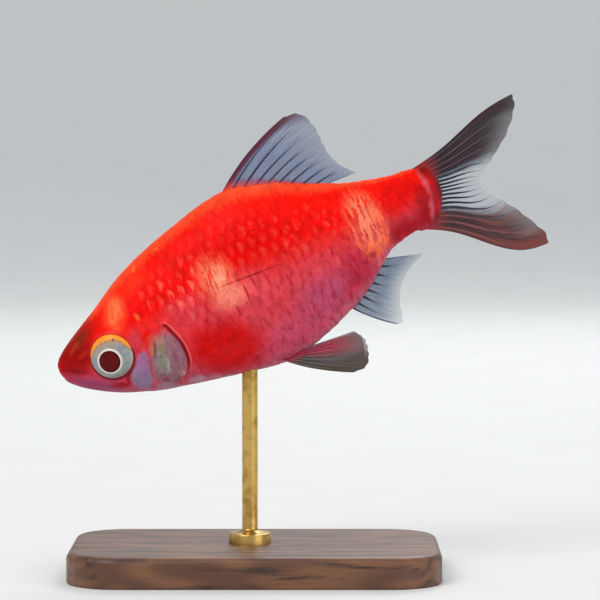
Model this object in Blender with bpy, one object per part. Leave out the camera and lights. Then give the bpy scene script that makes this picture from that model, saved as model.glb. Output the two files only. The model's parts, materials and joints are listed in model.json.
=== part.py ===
"""A red tiger barb, life size, on a plain display stand.

Metres, +Z up. The origin is the centre of the stand's underside. The fish swims towards -X with
its head tipped down, and its left flank faces -Y.

The fish is first built straight and level, with its snout at the origin. There u runs from the
snout to the tail, v up from the body's axis and w to the fish's right, all as shares of the
standard length. Every piece is then swept with the rear body, and the pose tips the whole fish.
"""

from math import atan, copysign, cos, hypot, pi, radians, sin, sqrt, tan

import bmesh
import bpy
import numpy as np
from mathutils import Vector

# Driving sizes. The standard length is the snout to the end of the tail's bones.
STANDARD_LENGTH = 0.047
GAP = 0.0003
CLEAR = GAP / STANDARD_LENGTH

# Pose: the whole fish tips about its snout, and the rear body sweeps to its right.
HEAD_DOWN = radians(24.5)
SNOUT_PLACE = (-0.0225, 0.0, 0.0237)
SWEEP_FROM = 0.55
SWEEP_ANGLE = radians(12)
SWEEP_CURVE = tan(SWEEP_ANGLE) / (2 * (1 - SWEEP_FROM) * STANDARD_LENGTH)

# Body outline at stations along the body: u, back, belly, half width.
STATIONS = [
    (0.000, -0.0135, -0.0135, 0.000),
    (0.005, 0.0065, -0.0410, 0.015),
    (0.02, 0.0210, -0.0600, 0.027),
    (0.06, 0.0465, -0.0915, 0.047),
    (0.13, 0.0830, -0.1300, 0.066),
    (0.24, 0.1420, -0.1660, 0.087),
    (0.40, 0.1925, -0.2010, 0.098),
    (0.52, 0.2155, -0.2205, 0.096),
    (0.64, 0.1870, -0.1945, 0.078),
    (0.76, 0.1335, -0.1390, 0.052),
    (0.86, 0.1005, -0.0755, 0.033),
    (0.94, 0.0830, -0.0640, 0.022),
    (1.00, 0.0810, -0.0765, 0.013),
]
BACK_POWER = 1.85
BELLY_POWER = 2.0
SIDES = 36
RINGS = 42
RING_CROWDING = 1.5

# The tail's bones end in a tilted, rounded edge.
TAIL_EDGE_TILT = 0.227
TAIL_EDGE_CURVE = 6.0
TAIL_EDGE_FROM = 0.90

# Thin cuts that part the body.
HEAD_CUT = 0.265
TAIL_CUT = 0.84

# Mouth: a slanted line from the snout to its corner, and the jaw's rear edge down to the throat.
MOUTH_TIP = (0.001, -0.0105)
MOUTH_CORNER = (0.056, -0.043)
JAW_REAR = (0.105, -0.165)
MOUTH_AHEAD = (-0.05, 0.0195)
JAW_BELOW = (-0.05, -0.200)
LIP_OFFSET = 0.0078
LIP_SINK = 0.0036
LIP_RADIUS = 0.0066
LIP_END_RADIUS = 0.0035
LIP_STEPS = 7
LIP_SIDES = 8

NOSTRIL = (0.0756, 0.032)
NOSTRIL_RADIUS = 0.0085

# Eyes, as shares of the standard length too.
EYE = (0.1355, -0.0310)
EYE_RADIUS = 0.0535
EYE_DEPTH = 0.027
EYE_PROUD = 0.016
EYE_SEGMENTS = 24
EYE_RINGS = 12

# Gill cover: its outline in u and v, clockwise from the top, round a centre.
COVER_CENTRE = (0.245, -0.090)
COVER_OUTLINE = [
    (0.276, -0.0135),
    (0.2925, -0.0400),
    (0.3015, -0.0780),
    (0.2965, -0.1200),
    (0.2720, -0.1480),
    (0.2280, -0.1540),
    (0.1900, -0.1400),
    (0.2060, -0.0960),
    (0.2360, -0.0480),
]
COVER_STEPS = 4
COVER_RINGS = (0.5, 0.85, 1.0)
COVER_LIFT = 0.0040
COVER_DEPTH = 0.019
COVER_SHARE = 0.4

# Fins. A ray's ridge stands out of the membrane on both faces and forks towards its tip.
MEMBRANE_THICKNESS = 0.0005
RAY_THICKNESS = 0.0008
TIP_SHARE = 0.4
TIP_FROM = 0.65
FORK_FROM = 0.40
FORK_TO = 0.80
RIDGE_SHARE = 0.25
MARGIN_DIP = 0.025

DORSAL_RAYS = 10
DORSAL_ROOT = (0.535, 0.770)
DORSAL_TIPS = [
    (0.00, 0.745, 0.3190),
    (0.12, 0.778, 0.3170),
    (0.33, 0.806, 0.2650),
    (0.55, 0.808, 0.2150),
    (0.78, 0.818, 0.1700),
    (1.00, 0.849, 0.1250),
]
DORSAL_BOW = 0.012

ANAL_RAYS = 8
ANAL_ROOT = (0.705, 0.826)
ANAL_TIPS = [
    (0.00, 0.788, -0.2490),
    (0.13, 0.803, -0.2530),
    (0.38, 0.818, -0.2050),
    (0.62, 0.838, -0.1690),
    (0.82, 0.874, -0.1400),
    (1.00, 0.920, -0.1210),
]
ANAL_BOW = -0.004

# The tail fin spreads about an axis that tips down from the body's, round a point at its root.
CAUDAL_RAYS = (10, 9)
CAUDAL_CENTRE = (1.0, -0.005)
CAUDAL_AXIS = radians(-10.0)
CAUDAL_SPREAD = radians(37.3)
CAUDAL_LOBES = (0.317, 0.303)
CAUDAL_FORK = 0.118
CAUDAL_FORK_SHAPE = 1.5
CAUDAL_ROOT_SHARE = 0.95
CAUDAL_SPLIT = 0.045
CAUDAL_BOWS = (0.004, 0.0155)
CAUDAL_SWAYS = (0.006, 0.0145)

PELVIC_RAYS = 8
PELVIC_ROOT = (0.503, 0.545)
PELVIC_SIDE = 0.027
PELVIC_TIPS = [
    (0.00, 0.643, -0.3060),
    (0.15, 0.668, -0.3075),
    (0.40, 0.694, -0.2840),
    (0.70, 0.702, -0.2500),
    (1.00, 0.690, -0.2230),
]
PELVIC_BOW = -0.006
PELVIC_FLARE = tan(radians(25))

PECTORAL_RAYS = 12
PECTORAL_ROOT = [(0.312, -0.117), (0.316, -0.152)]
PECTORAL_TIPS = [
    (0.00, 0.490, -0.1270),
    (0.20, 0.505, -0.1430),
    (0.50, 0.482, -0.1740),
    (0.80, 0.432, -0.1900),
    (1.00, 0.395, -0.1900),
]
PECTORAL_BOW = 0.004
PECTORAL_FLARE = tan(radians(20))

FIN_ROWS = 8
PAIRED_FIN_ROWS = 7

# Stand, in metres.
BASE_SIZE = (0.042, 0.026, 0.0035)
BASE_CORNER = 0.006
BASE_EDGE = 0.0008
ROD_RADIUS = 0.0009
ROD_X = -0.0006
ROD_TOP = 0.026
COLLAR_RADIUS = 0.0024
COLLAR_HEIGHT = 0.0009
COLLAR_NECK = 0.0005
ROD_SEGMENTS = 20

SIDES_OF_FISH = {"left": -1, "right": 1}

# Colour, roughness and metallic value of each material.
FINISHES = {
    "skin_red": ((0.80, 0.04, 0.02), 0.35, 0.0),
    "skin_lilac": ((0.45, 0.22, 0.28), 0.30, 0.1),
    "eye_silver": ((0.55, 0.55, 0.52), 0.12, 0.2),
    "fin_smoke": ((0.28, 0.14, 0.18), 0.40, 0.0),
    "fin_clear": ((0.65, 0.50, 0.48), 0.35, 0.0),
    "stand_walnut": ((0.20, 0.09, 0.04), 0.45, 0.0),
    "stand_brass": ((0.75, 0.55, 0.25), 0.28, 1.0),
}


class Smooth:
    """A cubic curve through points that doesn't overshoot between them."""

    def __init__(self, xs, ys):
        self.xs = np.array(xs, float)
        self.ys = np.array(ys, float)
        self.run = np.diff(self.xs)
        rise = np.diff(self.ys) / self.run
        self.slope = np.concatenate([rise[:1], np.zeros(len(rise) - 1), rise[-1:]])
        for i in range(1, len(rise)):
            before, after = rise[i - 1], rise[i]
            if before * after > 0:
                far = 2 * self.run[i] + self.run[i - 1]
                near = self.run[i] + 2 * self.run[i - 1]
                self.slope[i] = (far + near) / (far / before + near / after)

    def __call__(self, x):
        i = int(np.clip(np.searchsorted(self.xs, x) - 1, 0, len(self.run) - 1))
        t = (x - self.xs[i]) / self.run[i]
        start = (1 + 2 * t) * (1 - t) ** 2 * self.ys[i]
        start_slope = t * (1 - t) ** 2 * self.run[i] * self.slope[i]
        end = t * t * (3 - 2 * t) * self.ys[i + 1]
        end_slope = t * t * (t - 1) * self.run[i] * self.slope[i + 1]
        return float(start + start_slope + end + end_slope)


def smooth_step(low, high, x):
    t = min(max((x - low) / (high - low), 0.0), 1.0)
    return t * t * (3 - 2 * t)


# The stations are joined over the root of u, which rounds the snout.
STATION_ROOTS = [sqrt(u) for u, _, _, _ in STATIONS]
BACK = Smooth(STATION_ROOTS, [back for _, back, _, _ in STATIONS])
BELLY = Smooth(STATION_ROOTS, [belly for _, _, belly, _ in STATIONS])
HALF_WIDTH = Smooth(STATION_ROOTS, [width for _, _, _, width in STATIONS])


def section(u):
    """Middle height, half height and half width of the body at u."""
    root = sqrt(u)
    back, belly = BACK(root), BELLY(root)
    return (back + belly) / 2, (back - belly) / 2, HALF_WIDTH(root)


def flank(u, v):
    """Half width of the body at u and v."""
    middle, half_height, half_width = section(u)
    power = BACK_POWER if v > middle else BELLY_POWER
    share = min(abs(v - middle) / half_height, 1.0)
    return half_width * (1 - share**power) ** (1 / power)


def underside(u, w):
    """Height of the belly's skin at u, and w off the middle."""
    middle, half_height, half_width = section(u)
    return middle - half_height * (1 - (w / half_width) ** BELLY_POWER) ** (1 / BELLY_POWER)


def outward(u, w, v):
    """Way out of the lower skin at a point of the section at u, as w and v."""
    middle, half_height, half_width = section(u)
    across = w / half_width**2
    down = (v - middle) / half_height**2
    size = hypot(across, down)
    return across / size, down / size


def tail_edge(u, v):
    """How far the tail's end moves back at height v, to round and tilt it."""
    return (TAIL_EDGE_TILT * v - TAIL_EDGE_CURVE * v * v) * smooth_step(TAIL_EDGE_FROM, 1.0, u)


def place(u, w, v):
    """A point of the straight, level fish, in metres."""
    return Vector((u, w, v)) * STANDARD_LENGTH


def sweep(point):
    """Moves a point of the straight fish to the swept one, whose side view stays the same."""
    past = point.x - SWEEP_FROM * STANDARD_LENGTH
    if past <= 0:
        return point
    turn = atan(2 * SWEEP_CURVE * past)
    along = point.x - point.y * sin(turn)
    across = SWEEP_CURVE * past**2 + point.y * cos(turn)
    return Vector((along, across, point.z))


def clear_scene():
    for thing in list(bpy.data.objects):
        bpy.data.objects.remove(thing)


def material(name):
    """The Principled material of that name, made once."""
    if name in bpy.data.materials:
        return bpy.data.materials[name]
    colour, roughness, metallic = FINISHES[name]
    made = bpy.data.materials.new(name)
    made.use_nodes = True
    shader = made.node_tree.nodes["Principled BSDF"]
    shader.inputs["Base Color"].default_value = (*colour, 1)
    shader.inputs["Roughness"].default_value = roughness
    shader.inputs["Metallic"].default_value = metallic
    made.diffuse_color = (*colour, 1)
    return made


def mesh_object(name, points, faces):
    """A mesh object with its faces turned outwards."""
    mesh = bpy.data.meshes.new(name)
    mesh.from_pydata([tuple(p) for p in points], [], faces)
    shape = bmesh.new()
    shape.from_mesh(mesh)
    bmesh.ops.recalc_face_normals(shape, faces=shape.faces)
    shape.to_mesh(mesh)
    shape.free()
    piece = bpy.data.objects.new(name, mesh)
    bpy.context.scene.collection.objects.link(piece)
    return piece


def combine(piece, operation, others):
    """Joins closed pieces to this one, cuts them from it or keeps what they share, at once."""
    for other in others:
        modifier = piece.modifiers.new(operation.lower(), "BOOLEAN")
        modifier.operation = operation
        modifier.solver = "EXACT"
        modifier.object = other
        other.hide_render = True
        other.display_type = "WIRE"
    bpy.context.view_layer.update()
    evaluated = piece.evaluated_get(bpy.context.evaluated_depsgraph_get())
    shaped = bpy.data.meshes.new_from_object(evaluated)
    piece.modifiers.clear()
    piece.data = shaped
    for other in others:
        bpy.data.objects.remove(other)
    return piece


def surfaces(shape):
    """The separate closed surfaces of a bmesh, as lists of faces."""
    left = set(shape.faces)
    found = []
    while left:
        start = left.pop()
        group, front = [start], [start]
        while front:
            face = front.pop()
            for edge in face.edges:
                for other in edge.link_faces:
                    if other in left:
                        left.remove(other)
                        group.append(other)
                        front.append(other)
        found.append(group)
    return found


def finish(piece, finish_name, pose, swept=True):
    """Keeps the largest surface, sweeps it with the rear body, and shades and parents the piece."""
    shape = bmesh.new()
    shape.from_mesh(piece.data)
    bmesh.ops.triangulate(shape, faces=shape.faces)
    groups = sorted(surfaces(shape), key=lambda group: sum(face.calc_area() for face in group))
    scraps = {vertex for group in groups[:-1] for face in group for vertex in face.verts}
    bmesh.ops.delete(shape, geom=list(scraps), context="VERTS")
    if swept:
        for vertex in shape.verts:
            vertex.co = sweep(vertex.co)
    shape.to_mesh(piece.data)
    shape.free()
    piece.data.shade_smooth()
    piece.data.set_sharp_from_angle(angle=radians(40))
    piece.data.materials.clear()
    piece.data.materials.append(material(finish_name))
    piece.parent = pose
    return piece


def fish_pose():
    """The empty that carries the whole fish and tips its head down."""
    pose = bpy.data.objects.new("fish_pose", None)
    bpy.context.scene.collection.objects.link(pose)
    pose.location = SNOUT_PLACE
    pose.rotation_euler = (0, -HEAD_DOWN, 0)
    return pose


def ring(u, growth):
    """Points round the body at u."""
    middle, half_height, half_width = section(u)
    points = []
    for k in range(SIDES):
        angle = 2 * pi * k / SIDES
        power = BACK_POWER if k < SIDES / 2 else BELLY_POWER
        across = copysign(abs(cos(angle)) ** (2 / power), cos(angle))
        up = copysign(abs(sin(angle)) ** (2 / power), sin(angle))
        v = middle + up * (half_height + growth)
        points.append(place(u + tail_edge(u, v), across * (half_width + growth), v))
    return points


def cap(first):
    """Faces that close a ring whose points start at that index, in strips from side to side."""
    top, half = SIDES // 4, SIDES // 2

    def at(k):
        return first + k % SIDES

    faces = [(at(top), at(top - 1), at(top + 1))]
    for k in range(1, half - 1):
        faces.append((at(top - k), at(top - k - 1), at(top + k + 1), at(top + k)))
    faces.append((at(top - half + 1), at(top + half), at(top + half - 1)))
    return faces


def body_length(name, start, end, growth=0.0):
    """The body between two stations, with flat or pointed ends."""
    inner = [(i / RINGS) ** RING_CROWDING for i in range(1, RINGS)]
    stations = [u for u in inner if start + CLEAR < u < end - CLEAR] + [end]
    points, faces = [], []
    if start == 0:
        points.append(place(0, 0, 0))
        faces += [(0, 1 + k, 1 + (k + 1) % SIDES) for k in range(SIDES)]
    else:
        stations = [start] + stations
        faces += cap(0)
    first = len(points)
    for u in stations:
        points += ring(u, growth)
    for r in range(len(stations) - 1):
        here = first + r * SIDES
        for k in range(SIDES):
            after = (k + 1) % SIDES
            faces.append((here + k, here + after, here + SIDES + after, here + SIDES + k))
    faces += cap(first + (len(stations) - 1) * SIDES)
    return mesh_object(name, points, faces)


def prism(name, outline):
    """A solid whose side view is the outline, wider than the fish."""
    reach = max(half_width for _, _, _, half_width in STATIONS) * 2
    count = len(outline)
    points = [place(u, w, v) for w in (-reach, reach) for u, v in outline]
    faces = [tuple(range(count)), tuple(range(count, 2 * count))]
    faces += [(i, (i + 1) % count, count + (i + 1) % count, count + i) for i in range(count)]
    return mesh_object(name, points, faces)


def grown(outline, amount):
    """A clockwise convex outline with each edge moved out by the amount."""
    corners = []
    for i, corner in enumerate(outline):
        rows, reach = [], []
        for a, b in ((outline[i - 1], corner), (corner, outline[(i + 1) % len(outline)])):
            along = Vector((b[0] - a[0], b[1] - a[1])).normalized()
            out = Vector((-along.y, along.x))
            rows.append(tuple(out))
            reach.append(out.dot(Vector(corner)) + amount)
        corners.append(tuple(np.linalg.solve(rows, reach)))
    return corners


JAW_OUTLINE = [MOUTH_AHEAD, MOUTH_CORNER, JAW_REAR, JAW_BELOW]


def lip_path(side_of_mouth):
    """Points along one lip from the left corner round the snout to the right, each with the lip's
    radius. The lip lies where a slant parallel to the mouth meets the skin, and sunk in it."""
    tip, along = Vector(MOUTH_TIP), Vector(MOUTH_CORNER) - Vector(MOUTH_TIP)
    aside = Vector((-along.y, along.x)).normalized() * LIP_OFFSET * side_of_mouth

    def width_at(share):
        u, v = tip + along * share + aside
        return flank(u, v) if u > 0 else 0.0

    outside, front = -1.0, 1.0
    while front - outside > CLEAR:
        half_way = (front + outside) / 2
        if width_at(half_way) > 0:
            front = half_way
        else:
            outside = half_way
    skin = []
    for step in range(-LIP_STEPS, LIP_STEPS + 1):
        share = front + (1 - front) * (step / LIP_STEPS) ** 2
        u, v = tip + along * share + aside
        skin.append(Vector((u, copysign(width_at(share), step) if step else 0.0, v)))
    path = []
    for i, point in enumerate(skin):
        forward = skin[min(i + 1, len(skin) - 1)] - skin[max(i - 1, 0)]
        inward = Vector((forward.y, -forward.x, 0)).normalized() * LIP_SINK
        thin = abs(i - LIP_STEPS) / LIP_STEPS
        path.append((*(point + inward), LIP_RADIUS + (LIP_END_RADIUS - LIP_RADIUS) * thin))
    return path


def tube(name, path):
    """A round bar along a path of u, w, v and radius, with closed ends."""
    points, faces = [], []
    centres = [place(u, w, v) for u, w, v, _ in path]
    for i, (centre, (_, _, _, radius)) in enumerate(zip(centres, path)):
        before, after = centres[max(i - 1, 0)], centres[min(i + 1, len(path) - 1)]
        along = (after - before).normalized()
        side = along.cross(Vector((0, 0, 1))).normalized()
        up = side.cross(along)
        for k in range(LIP_SIDES):
            angle = 2 * pi * k / LIP_SIDES
            spoke = side * cos(angle) + up * sin(angle)
            points.append(centre + spoke * radius * STANDARD_LENGTH)
    for i in range(len(path) - 1):
        for k in range(LIP_SIDES):
            a, b = i * LIP_SIDES + k, i * LIP_SIDES + (k + 1) % LIP_SIDES
            faces.append((a, b, b + LIP_SIDES, a + LIP_SIDES))
    faces.append(tuple(range(LIP_SIDES)))
    faces.append(tuple(range(len(points) - LIP_SIDES, len(points))))
    return mesh_object(name, points, faces)


def ball(name, segments, rings, radii):
    """A sphere stretched to three radii, with its poles out to the sides."""
    shape = bmesh.new()
    bmesh.ops.create_uvsphere(shape, u_segments=segments, v_segments=rings, radius=1)
    for vertex in shape.verts:
        x, y, z = vertex.co
        vertex.co = (x * radii[0], -z * radii[1], y * radii[2])
    mesh = bpy.data.meshes.new(name)
    shape.to_mesh(mesh)
    shape.free()
    piece = bpy.data.objects.new(name, mesh)
    bpy.context.scene.collection.objects.link(piece)
    return piece


def eyeball(name, side, growth):
    """An eye that faces square out of the head's side."""
    u, v = EYE
    taper = atan((flank(u + EYE_RADIUS, v) - flank(u - EYE_RADIUS, v)) / (2 * EYE_RADIUS))
    radii = [EYE_RADIUS + growth, EYE_DEPTH + growth, EYE_RADIUS + growth]
    eye = ball(name, EYE_SEGMENTS, EYE_RINGS, [radius * STANDARD_LENGTH for radius in radii])
    sunk = EYE_DEPTH - EYE_PROUD
    out = flank(u, v) - sunk * cos(taper)
    eye.location = place(u + sunk * sin(taper), side * out, v)
    eye.rotation_euler = (0, 0, side * taper)
    return eye


def cover_rim():
    """The gill cover's outline as a smooth closed curve through its corners."""
    corners = [Vector(corner) for corner in COVER_OUTLINE]
    rim = []
    for i in range(len(corners)):
        a, b, c, d = (corners[(i + k) % len(corners)] for k in (-1, 0, 1, 2))
        for step in range(COVER_STEPS):
            t = step / COVER_STEPS
            turn = (c - a) * t + (2 * a - 5 * b + 4 * c - d) * t**2 + (3 * b - a - 3 * c + d) * t**3
            rim.append(b + turn / 2)
    return rim


def cover_plate(name, side, growth, lift):
    """A plate that lies along the cheek, thinner where the body narrows under it."""
    centre = Vector(COVER_CENTRE)
    rim = [point + (point - centre).normalized() * growth for point in cover_rim()]
    count = len(rim)
    spots = [centre]
    for share in COVER_RINGS:
        spots += [centre + (point - centre) * share for point in rim]
    outer = [place(u, side * (flank(u, v) + lift), v) for u, v in spots]
    inner = []
    for u, v in spots:
        skin = flank(u, v)
        deep = min(COVER_DEPTH, COVER_SHARE * skin) + growth
        inner.append(place(u, side * (skin - deep), v))
    faces = []
    for start in (0, len(spots)):
        for k in range(count):
            after = (k + 1) % count
            faces.append((start, start + 1 + k, start + 1 + after))
            for r in range(len(COVER_RINGS) - 1):
                here = start + 1 + r * count
                faces.append((here + k, here + count + k, here + count + after))
                faces.append((here + k, here + count + after, here + after))
    last = 1 + (len(COVER_RINGS) - 1) * count
    for k in range(count):
        after = (k + 1) % count
        faces.append((last + k, last + after, len(spots) + last + after, len(spots) + last + k))
    return mesh_object(name, outer + inner, faces)


def cover_pockets():
    """Cutters for the room that both gill covers lie in."""
    far_out = COVER_LIFT * 8
    return [cover_plate("pocket", side, CLEAR, far_out) for side in SIDES_OF_FISH.values()]


def head(pose):
    piece = body_length("head", 0, HEAD_CUT - CLEAR / 2)
    combine(piece, "UNION", [tube("upper_lip", lip_path(1))])
    cutters = [prism("jaw_room", grown(JAW_OUTLINE, CLEAR))] + cover_pockets()
    for side in SIDES_OF_FISH.values():
        cutters.append(eyeball("socket", side, CLEAR))
        u, v = NOSTRIL
        pit = ball("nostril", LIP_SIDES, LIP_SIDES // 2, [NOSTRIL_RADIUS * STANDARD_LENGTH] * 3)
        pit.location = place(u, side * flank(u, v), v)
        cutters.append(pit)
    combine(piece, "DIFFERENCE", cutters)
    return finish(piece, "skin_red", pose)


def lower_jaw(pose):
    piece = body_length("lower_jaw", 0, JAW_REAR[0] * 2)
    combine(piece, "UNION", [tube("lower_lip", lip_path(-1))])
    combine(piece, "INTERSECT", [prism("jaw_shape", JAW_OUTLINE)])
    return finish(piece, "skin_lilac", pose)


def torso(pose):
    piece = body_length("torso", HEAD_CUT + CLEAR / 2, TAIL_CUT - CLEAR / 2)
    combine(piece, "DIFFERENCE", cover_pockets())
    return finish(piece, "skin_red", pose)


def tail(pose):
    return finish(body_length("tail", TAIL_CUT + CLEAR / 2, 1.0), "skin_red", pose)


def ray_fin(name, rays, rows, middle):
    """A membrane with raised rays. middle(a, b) gives the fin's middle surface in metres, with a
    from 0 at the first ray to 1 at the last and b from 0 at the root to 1 at the margin."""
    columns = []
    for i in range(rays):
        beside = (i - RIDGE_SHARE, i, i + RIDGE_SHARE)
        columns += [(k / (rays - 1), k == i) for k in beside if 0 <= k <= rays - 1]
    front, back = [], []
    step = 1e-4
    for a, is_ray in columns:
        for row in range(rows):
            reach = 1.0 if is_ray else 1.0 - MARGIN_DIP
            b = reach * row / (rows - 1)
            along = middle(a, b + step) - middle(a, b - step)
            across = middle(min(a + step, 1), b) - middle(max(a - step, 0), b)
            out = along.cross(across).normalized()
            forked = smooth_step(FORK_FROM, FORK_TO, b)
            ridge = 1 - forked if is_ray else forked
            thick = MEMBRANE_THICKNESS + (RAY_THICKNESS - MEMBRANE_THICKNESS) * ridge
            thick *= 1 - (1 - TIP_SHARE) * smooth_step(TIP_FROM, 1.0, b)
            front.append(middle(a, b) + out * thick / 2)
            back.append(middle(a, b) - out * thick / 2)
    faces = []
    behind = len(front)
    for c in range(len(columns) - 1):
        for row in range(rows - 1):
            a, b = c * rows + row, (c + 1) * rows + row
            for start in (0, behind):
                faces.append((start + a, start + b, start + b + 1))
                faces.append((start + a, start + b + 1, start + a + 1))
    ends = (0, (len(columns) - 1) * rows)
    for end in ends:
        for row in range(rows - 1):
            a = end + row
            faces.append((a, a + 1, behind + a + 1, behind + a))
    for row in (0, rows - 1):
        for c in range(len(columns) - 1):
            a, b = c * rows + row, (c + 1) * rows + row
            faces.append((a, b, behind + b, behind + a))
    return mesh_object(name, front + back, faces)


def bowed(root, tip, bow, b):
    """A point of a ray that leaves the straight line from root to tip by the bow."""
    along = Vector(tip) - Vector(root)
    aside = Vector((-along.y, along.x)).normalized()
    return Vector(root) + along * b + aside * bow * 4 * b * (1 - b)


def tips(points):
    """Smooth curves of u and v along a fin's margin."""
    shares = [share for share, _, _ in points]
    return Smooth(shares, [u for _, u, _ in points]), Smooth(shares, [v for _, _, v in points])


def dorsal_fin(pose):
    tip_u, tip_v = tips(DORSAL_TIPS)
    start, end = DORSAL_ROOT

    def middle(a, b):
        u = start + (end - start) * a
        root = (u, BACK(sqrt(u)) + CLEAR)
        u, v = bowed(root, (tip_u(a), tip_v(a)), DORSAL_BOW * (1 - a), b)
        return place(u, 0, v)

    return finish(ray_fin("dorsal_fin", DORSAL_RAYS, FIN_ROWS, middle), "fin_smoke", pose)


def anal_fin(pose):
    tip_u, tip_v = tips(ANAL_TIPS)
    start, end = ANAL_ROOT

    def middle(a, b):
        u = start + (end - start) * a
        root = (u, BELLY(sqrt(u)) - CLEAR)
        u, v = bowed(root, (tip_u(a), tip_v(a)), ANAL_BOW * (1 - a), b)
        return place(u, 0, v)

    return finish(ray_fin("anal_fin", ANAL_RAYS, FIN_ROWS, middle), "fin_smoke", pose)


def caudal_lobe(pose, name, side, rays, length, bow, sway):
    """One lobe of the tail fin. Its first ray lies at the fork and its last on the outer edge. A
    ray first runs on from the body, by its sway, and then bows out."""
    middle_v, half_height, _ = section(1.0)

    def middle(a, b):
        share = CAUDAL_SPLIT + (1 - CAUDAL_SPLIT) * a
        v = middle_v + side * half_height * CAUDAL_ROOT_SHARE * share
        root = (1 + tail_edge(1, v) + CLEAR, v)
        angle = CAUDAL_AXIS + side * CAUDAL_SPREAD * share
        rise = smooth_step(0, 1, share**CAUDAL_FORK_SHAPE)
        reach = CAUDAL_FORK + (length - CAUDAL_FORK) * rise
        tip = (CAUDAL_CENTRE[0] + reach * cos(angle), CAUDAL_CENTRE[1] + reach * sin(angle))
        u, v = bowed(root, tip, side * bow * share, b)
        v -= side * sway * share * sin(2 * pi * b)
        return place(u, 0, v)

    return finish(ray_fin(name, rays, FIN_ROWS, middle), "fin_smoke", pose)


def pelvic_fin(pose, name, side):
    tip_u, tip_v = tips(PELVIC_TIPS)
    start, end = PELVIC_ROOT

    def middle(a, b):
        u = start + (end - start) * a
        skin = underside(u, PELVIC_SIDE)
        out_w, out_v = outward(u, PELVIC_SIDE, skin)
        clear = CLEAR * 1.3
        root = (u, skin + out_v * clear)
        u, v = bowed(root, (tip_u(a), tip_v(a)), PELVIC_BOW * (1 - a), b)
        w = PELVIC_SIDE + out_w * clear + (root[1] - v) * PELVIC_FLARE
        return place(u, side * w, v)

    return finish(ray_fin(name, PELVIC_RAYS, PAIRED_FIN_ROWS, middle), "fin_smoke", pose)


def pectoral_fin(pose, name, side):
    tip_u, tip_v = tips(PECTORAL_TIPS)
    (upper_u, upper_v), (lower_u, lower_v) = PECTORAL_ROOT

    def middle(a, b):
        u = upper_u + (lower_u - upper_u) * a
        v = upper_v + (lower_v - upper_v) * a
        skin = flank(u, v)
        out_w, out_v = outward(u, skin, v)
        clear = CLEAR * 1.6
        root = (u, v + out_v * clear)
        tip_at, tip_high = bowed(root, (tip_u(a), tip_v(a)), PECTORAL_BOW, b)
        w = skin + out_w * clear + (tip_at - root[0]) * PECTORAL_FLARE
        return place(tip_at, side * w, tip_high)

    return finish(ray_fin(name, PECTORAL_RAYS, PAIRED_FIN_ROWS, middle), "fin_clear", pose)


def stand_base():
    """A flat slab with rounded corners and a softened upper edge, resting on the ground."""
    length, width, height = BASE_SIZE
    shape = bmesh.new()
    bmesh.ops.create_cube(shape, size=1)
    for vertex in shape.verts:
        x, y, z = vertex.co
        vertex.co = (x * length, y * width, (z + 0.5) * height)
    upright = [e for e in shape.edges if abs(e.verts[0].co.z - e.verts[1].co.z) > height / 2]
    bmesh.ops.bevel(shape, geom=upright, offset=BASE_CORNER, segments=8, profile=0.5, affect="EDGES")
    rim = [e for e in shape.edges if all(v.co.z > height * 0.99 for v in e.verts)]
    bmesh.ops.bevel(shape, geom=rim, offset=BASE_EDGE, segments=3, profile=0.5, affect="EDGES")
    mesh = bpy.data.meshes.new("stand_base")
    shape.to_mesh(mesh)
    shape.free()
    piece = bpy.data.objects.new("stand_base", mesh)
    bpy.context.scene.collection.objects.link(piece)
    return finish(piece, "stand_walnut", None, swept=False)


def stand_rod(pose):
    """A round rod on a small collar. Its top is cut to the belly's shape."""
    foot = BASE_SIZE[2] + GAP
    neck = foot + COLLAR_HEIGHT
    profile = [
        (0, foot),
        (COLLAR_RADIUS, foot),
        (COLLAR_RADIUS, neck),
        (ROD_RADIUS, neck + COLLAR_NECK),
        (ROD_RADIUS, ROD_TOP),
        (0, ROD_TOP),
    ]
    shape = bmesh.new()
    line = [shape.verts.new((radius, 0, height)) for radius, height in profile]
    edges = [shape.edges.new(pair) for pair in zip(line, line[1:])]
    bmesh.ops.spin(
        shape, geom=line + edges, cent=(0, 0, 0), axis=(0, 0, 1), angle=2 * pi, steps=ROD_SEGMENTS
    )
    bmesh.ops.remove_doubles(shape, verts=shape.verts, dist=1e-6)
    bmesh.ops.recalc_face_normals(shape, faces=shape.faces)
    mesh = bpy.data.meshes.new("stand_rod")
    shape.to_mesh(mesh)
    shape.free()
    piece = bpy.data.objects.new("stand_rod", mesh)
    bpy.context.scene.collection.objects.link(piece)
    piece.location = (ROD_X, 0, 0)
    belly = body_length("belly_room", HEAD_CUT, TAIL_CUT, CLEAR)
    belly.parent = pose
    combine(piece, "DIFFERENCE", [belly])
    return finish(piece, "stand_brass", None, swept=False)


def main():
    clear_scene()
    pose = fish_pose()
    head(pose)
    lower_jaw(pose)
    for word, side in SIDES_OF_FISH.items():
        finish(eyeball("eye_" + word, side, 0), "eye_silver", pose, swept=False)
        cover = cover_plate("gill_cover_" + word, side, 0, COVER_LIFT)
        finish(cover, "skin_lilac", pose)
        pelvic_fin(pose, "pelvic_fin_" + word, side)
        pectoral_fin(pose, "pectoral_fin_" + word, side)
    torso(pose)
    tail(pose)
    dorsal_fin(pose)
    anal_fin(pose)
    lobes = zip(("upper", "lower"), (1, -1), CAUDAL_RAYS, CAUDAL_LOBES, CAUDAL_BOWS, CAUDAL_SWAYS)
    for word, side, rays, length, bow, sway in lobes:
        caudal_lobe(pose, "caudal_fin_" + word, side, rays, length, bow, sway)
    stand_base()
    stand_rod(pose)


main()
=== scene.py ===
# %% [markdown]
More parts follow.
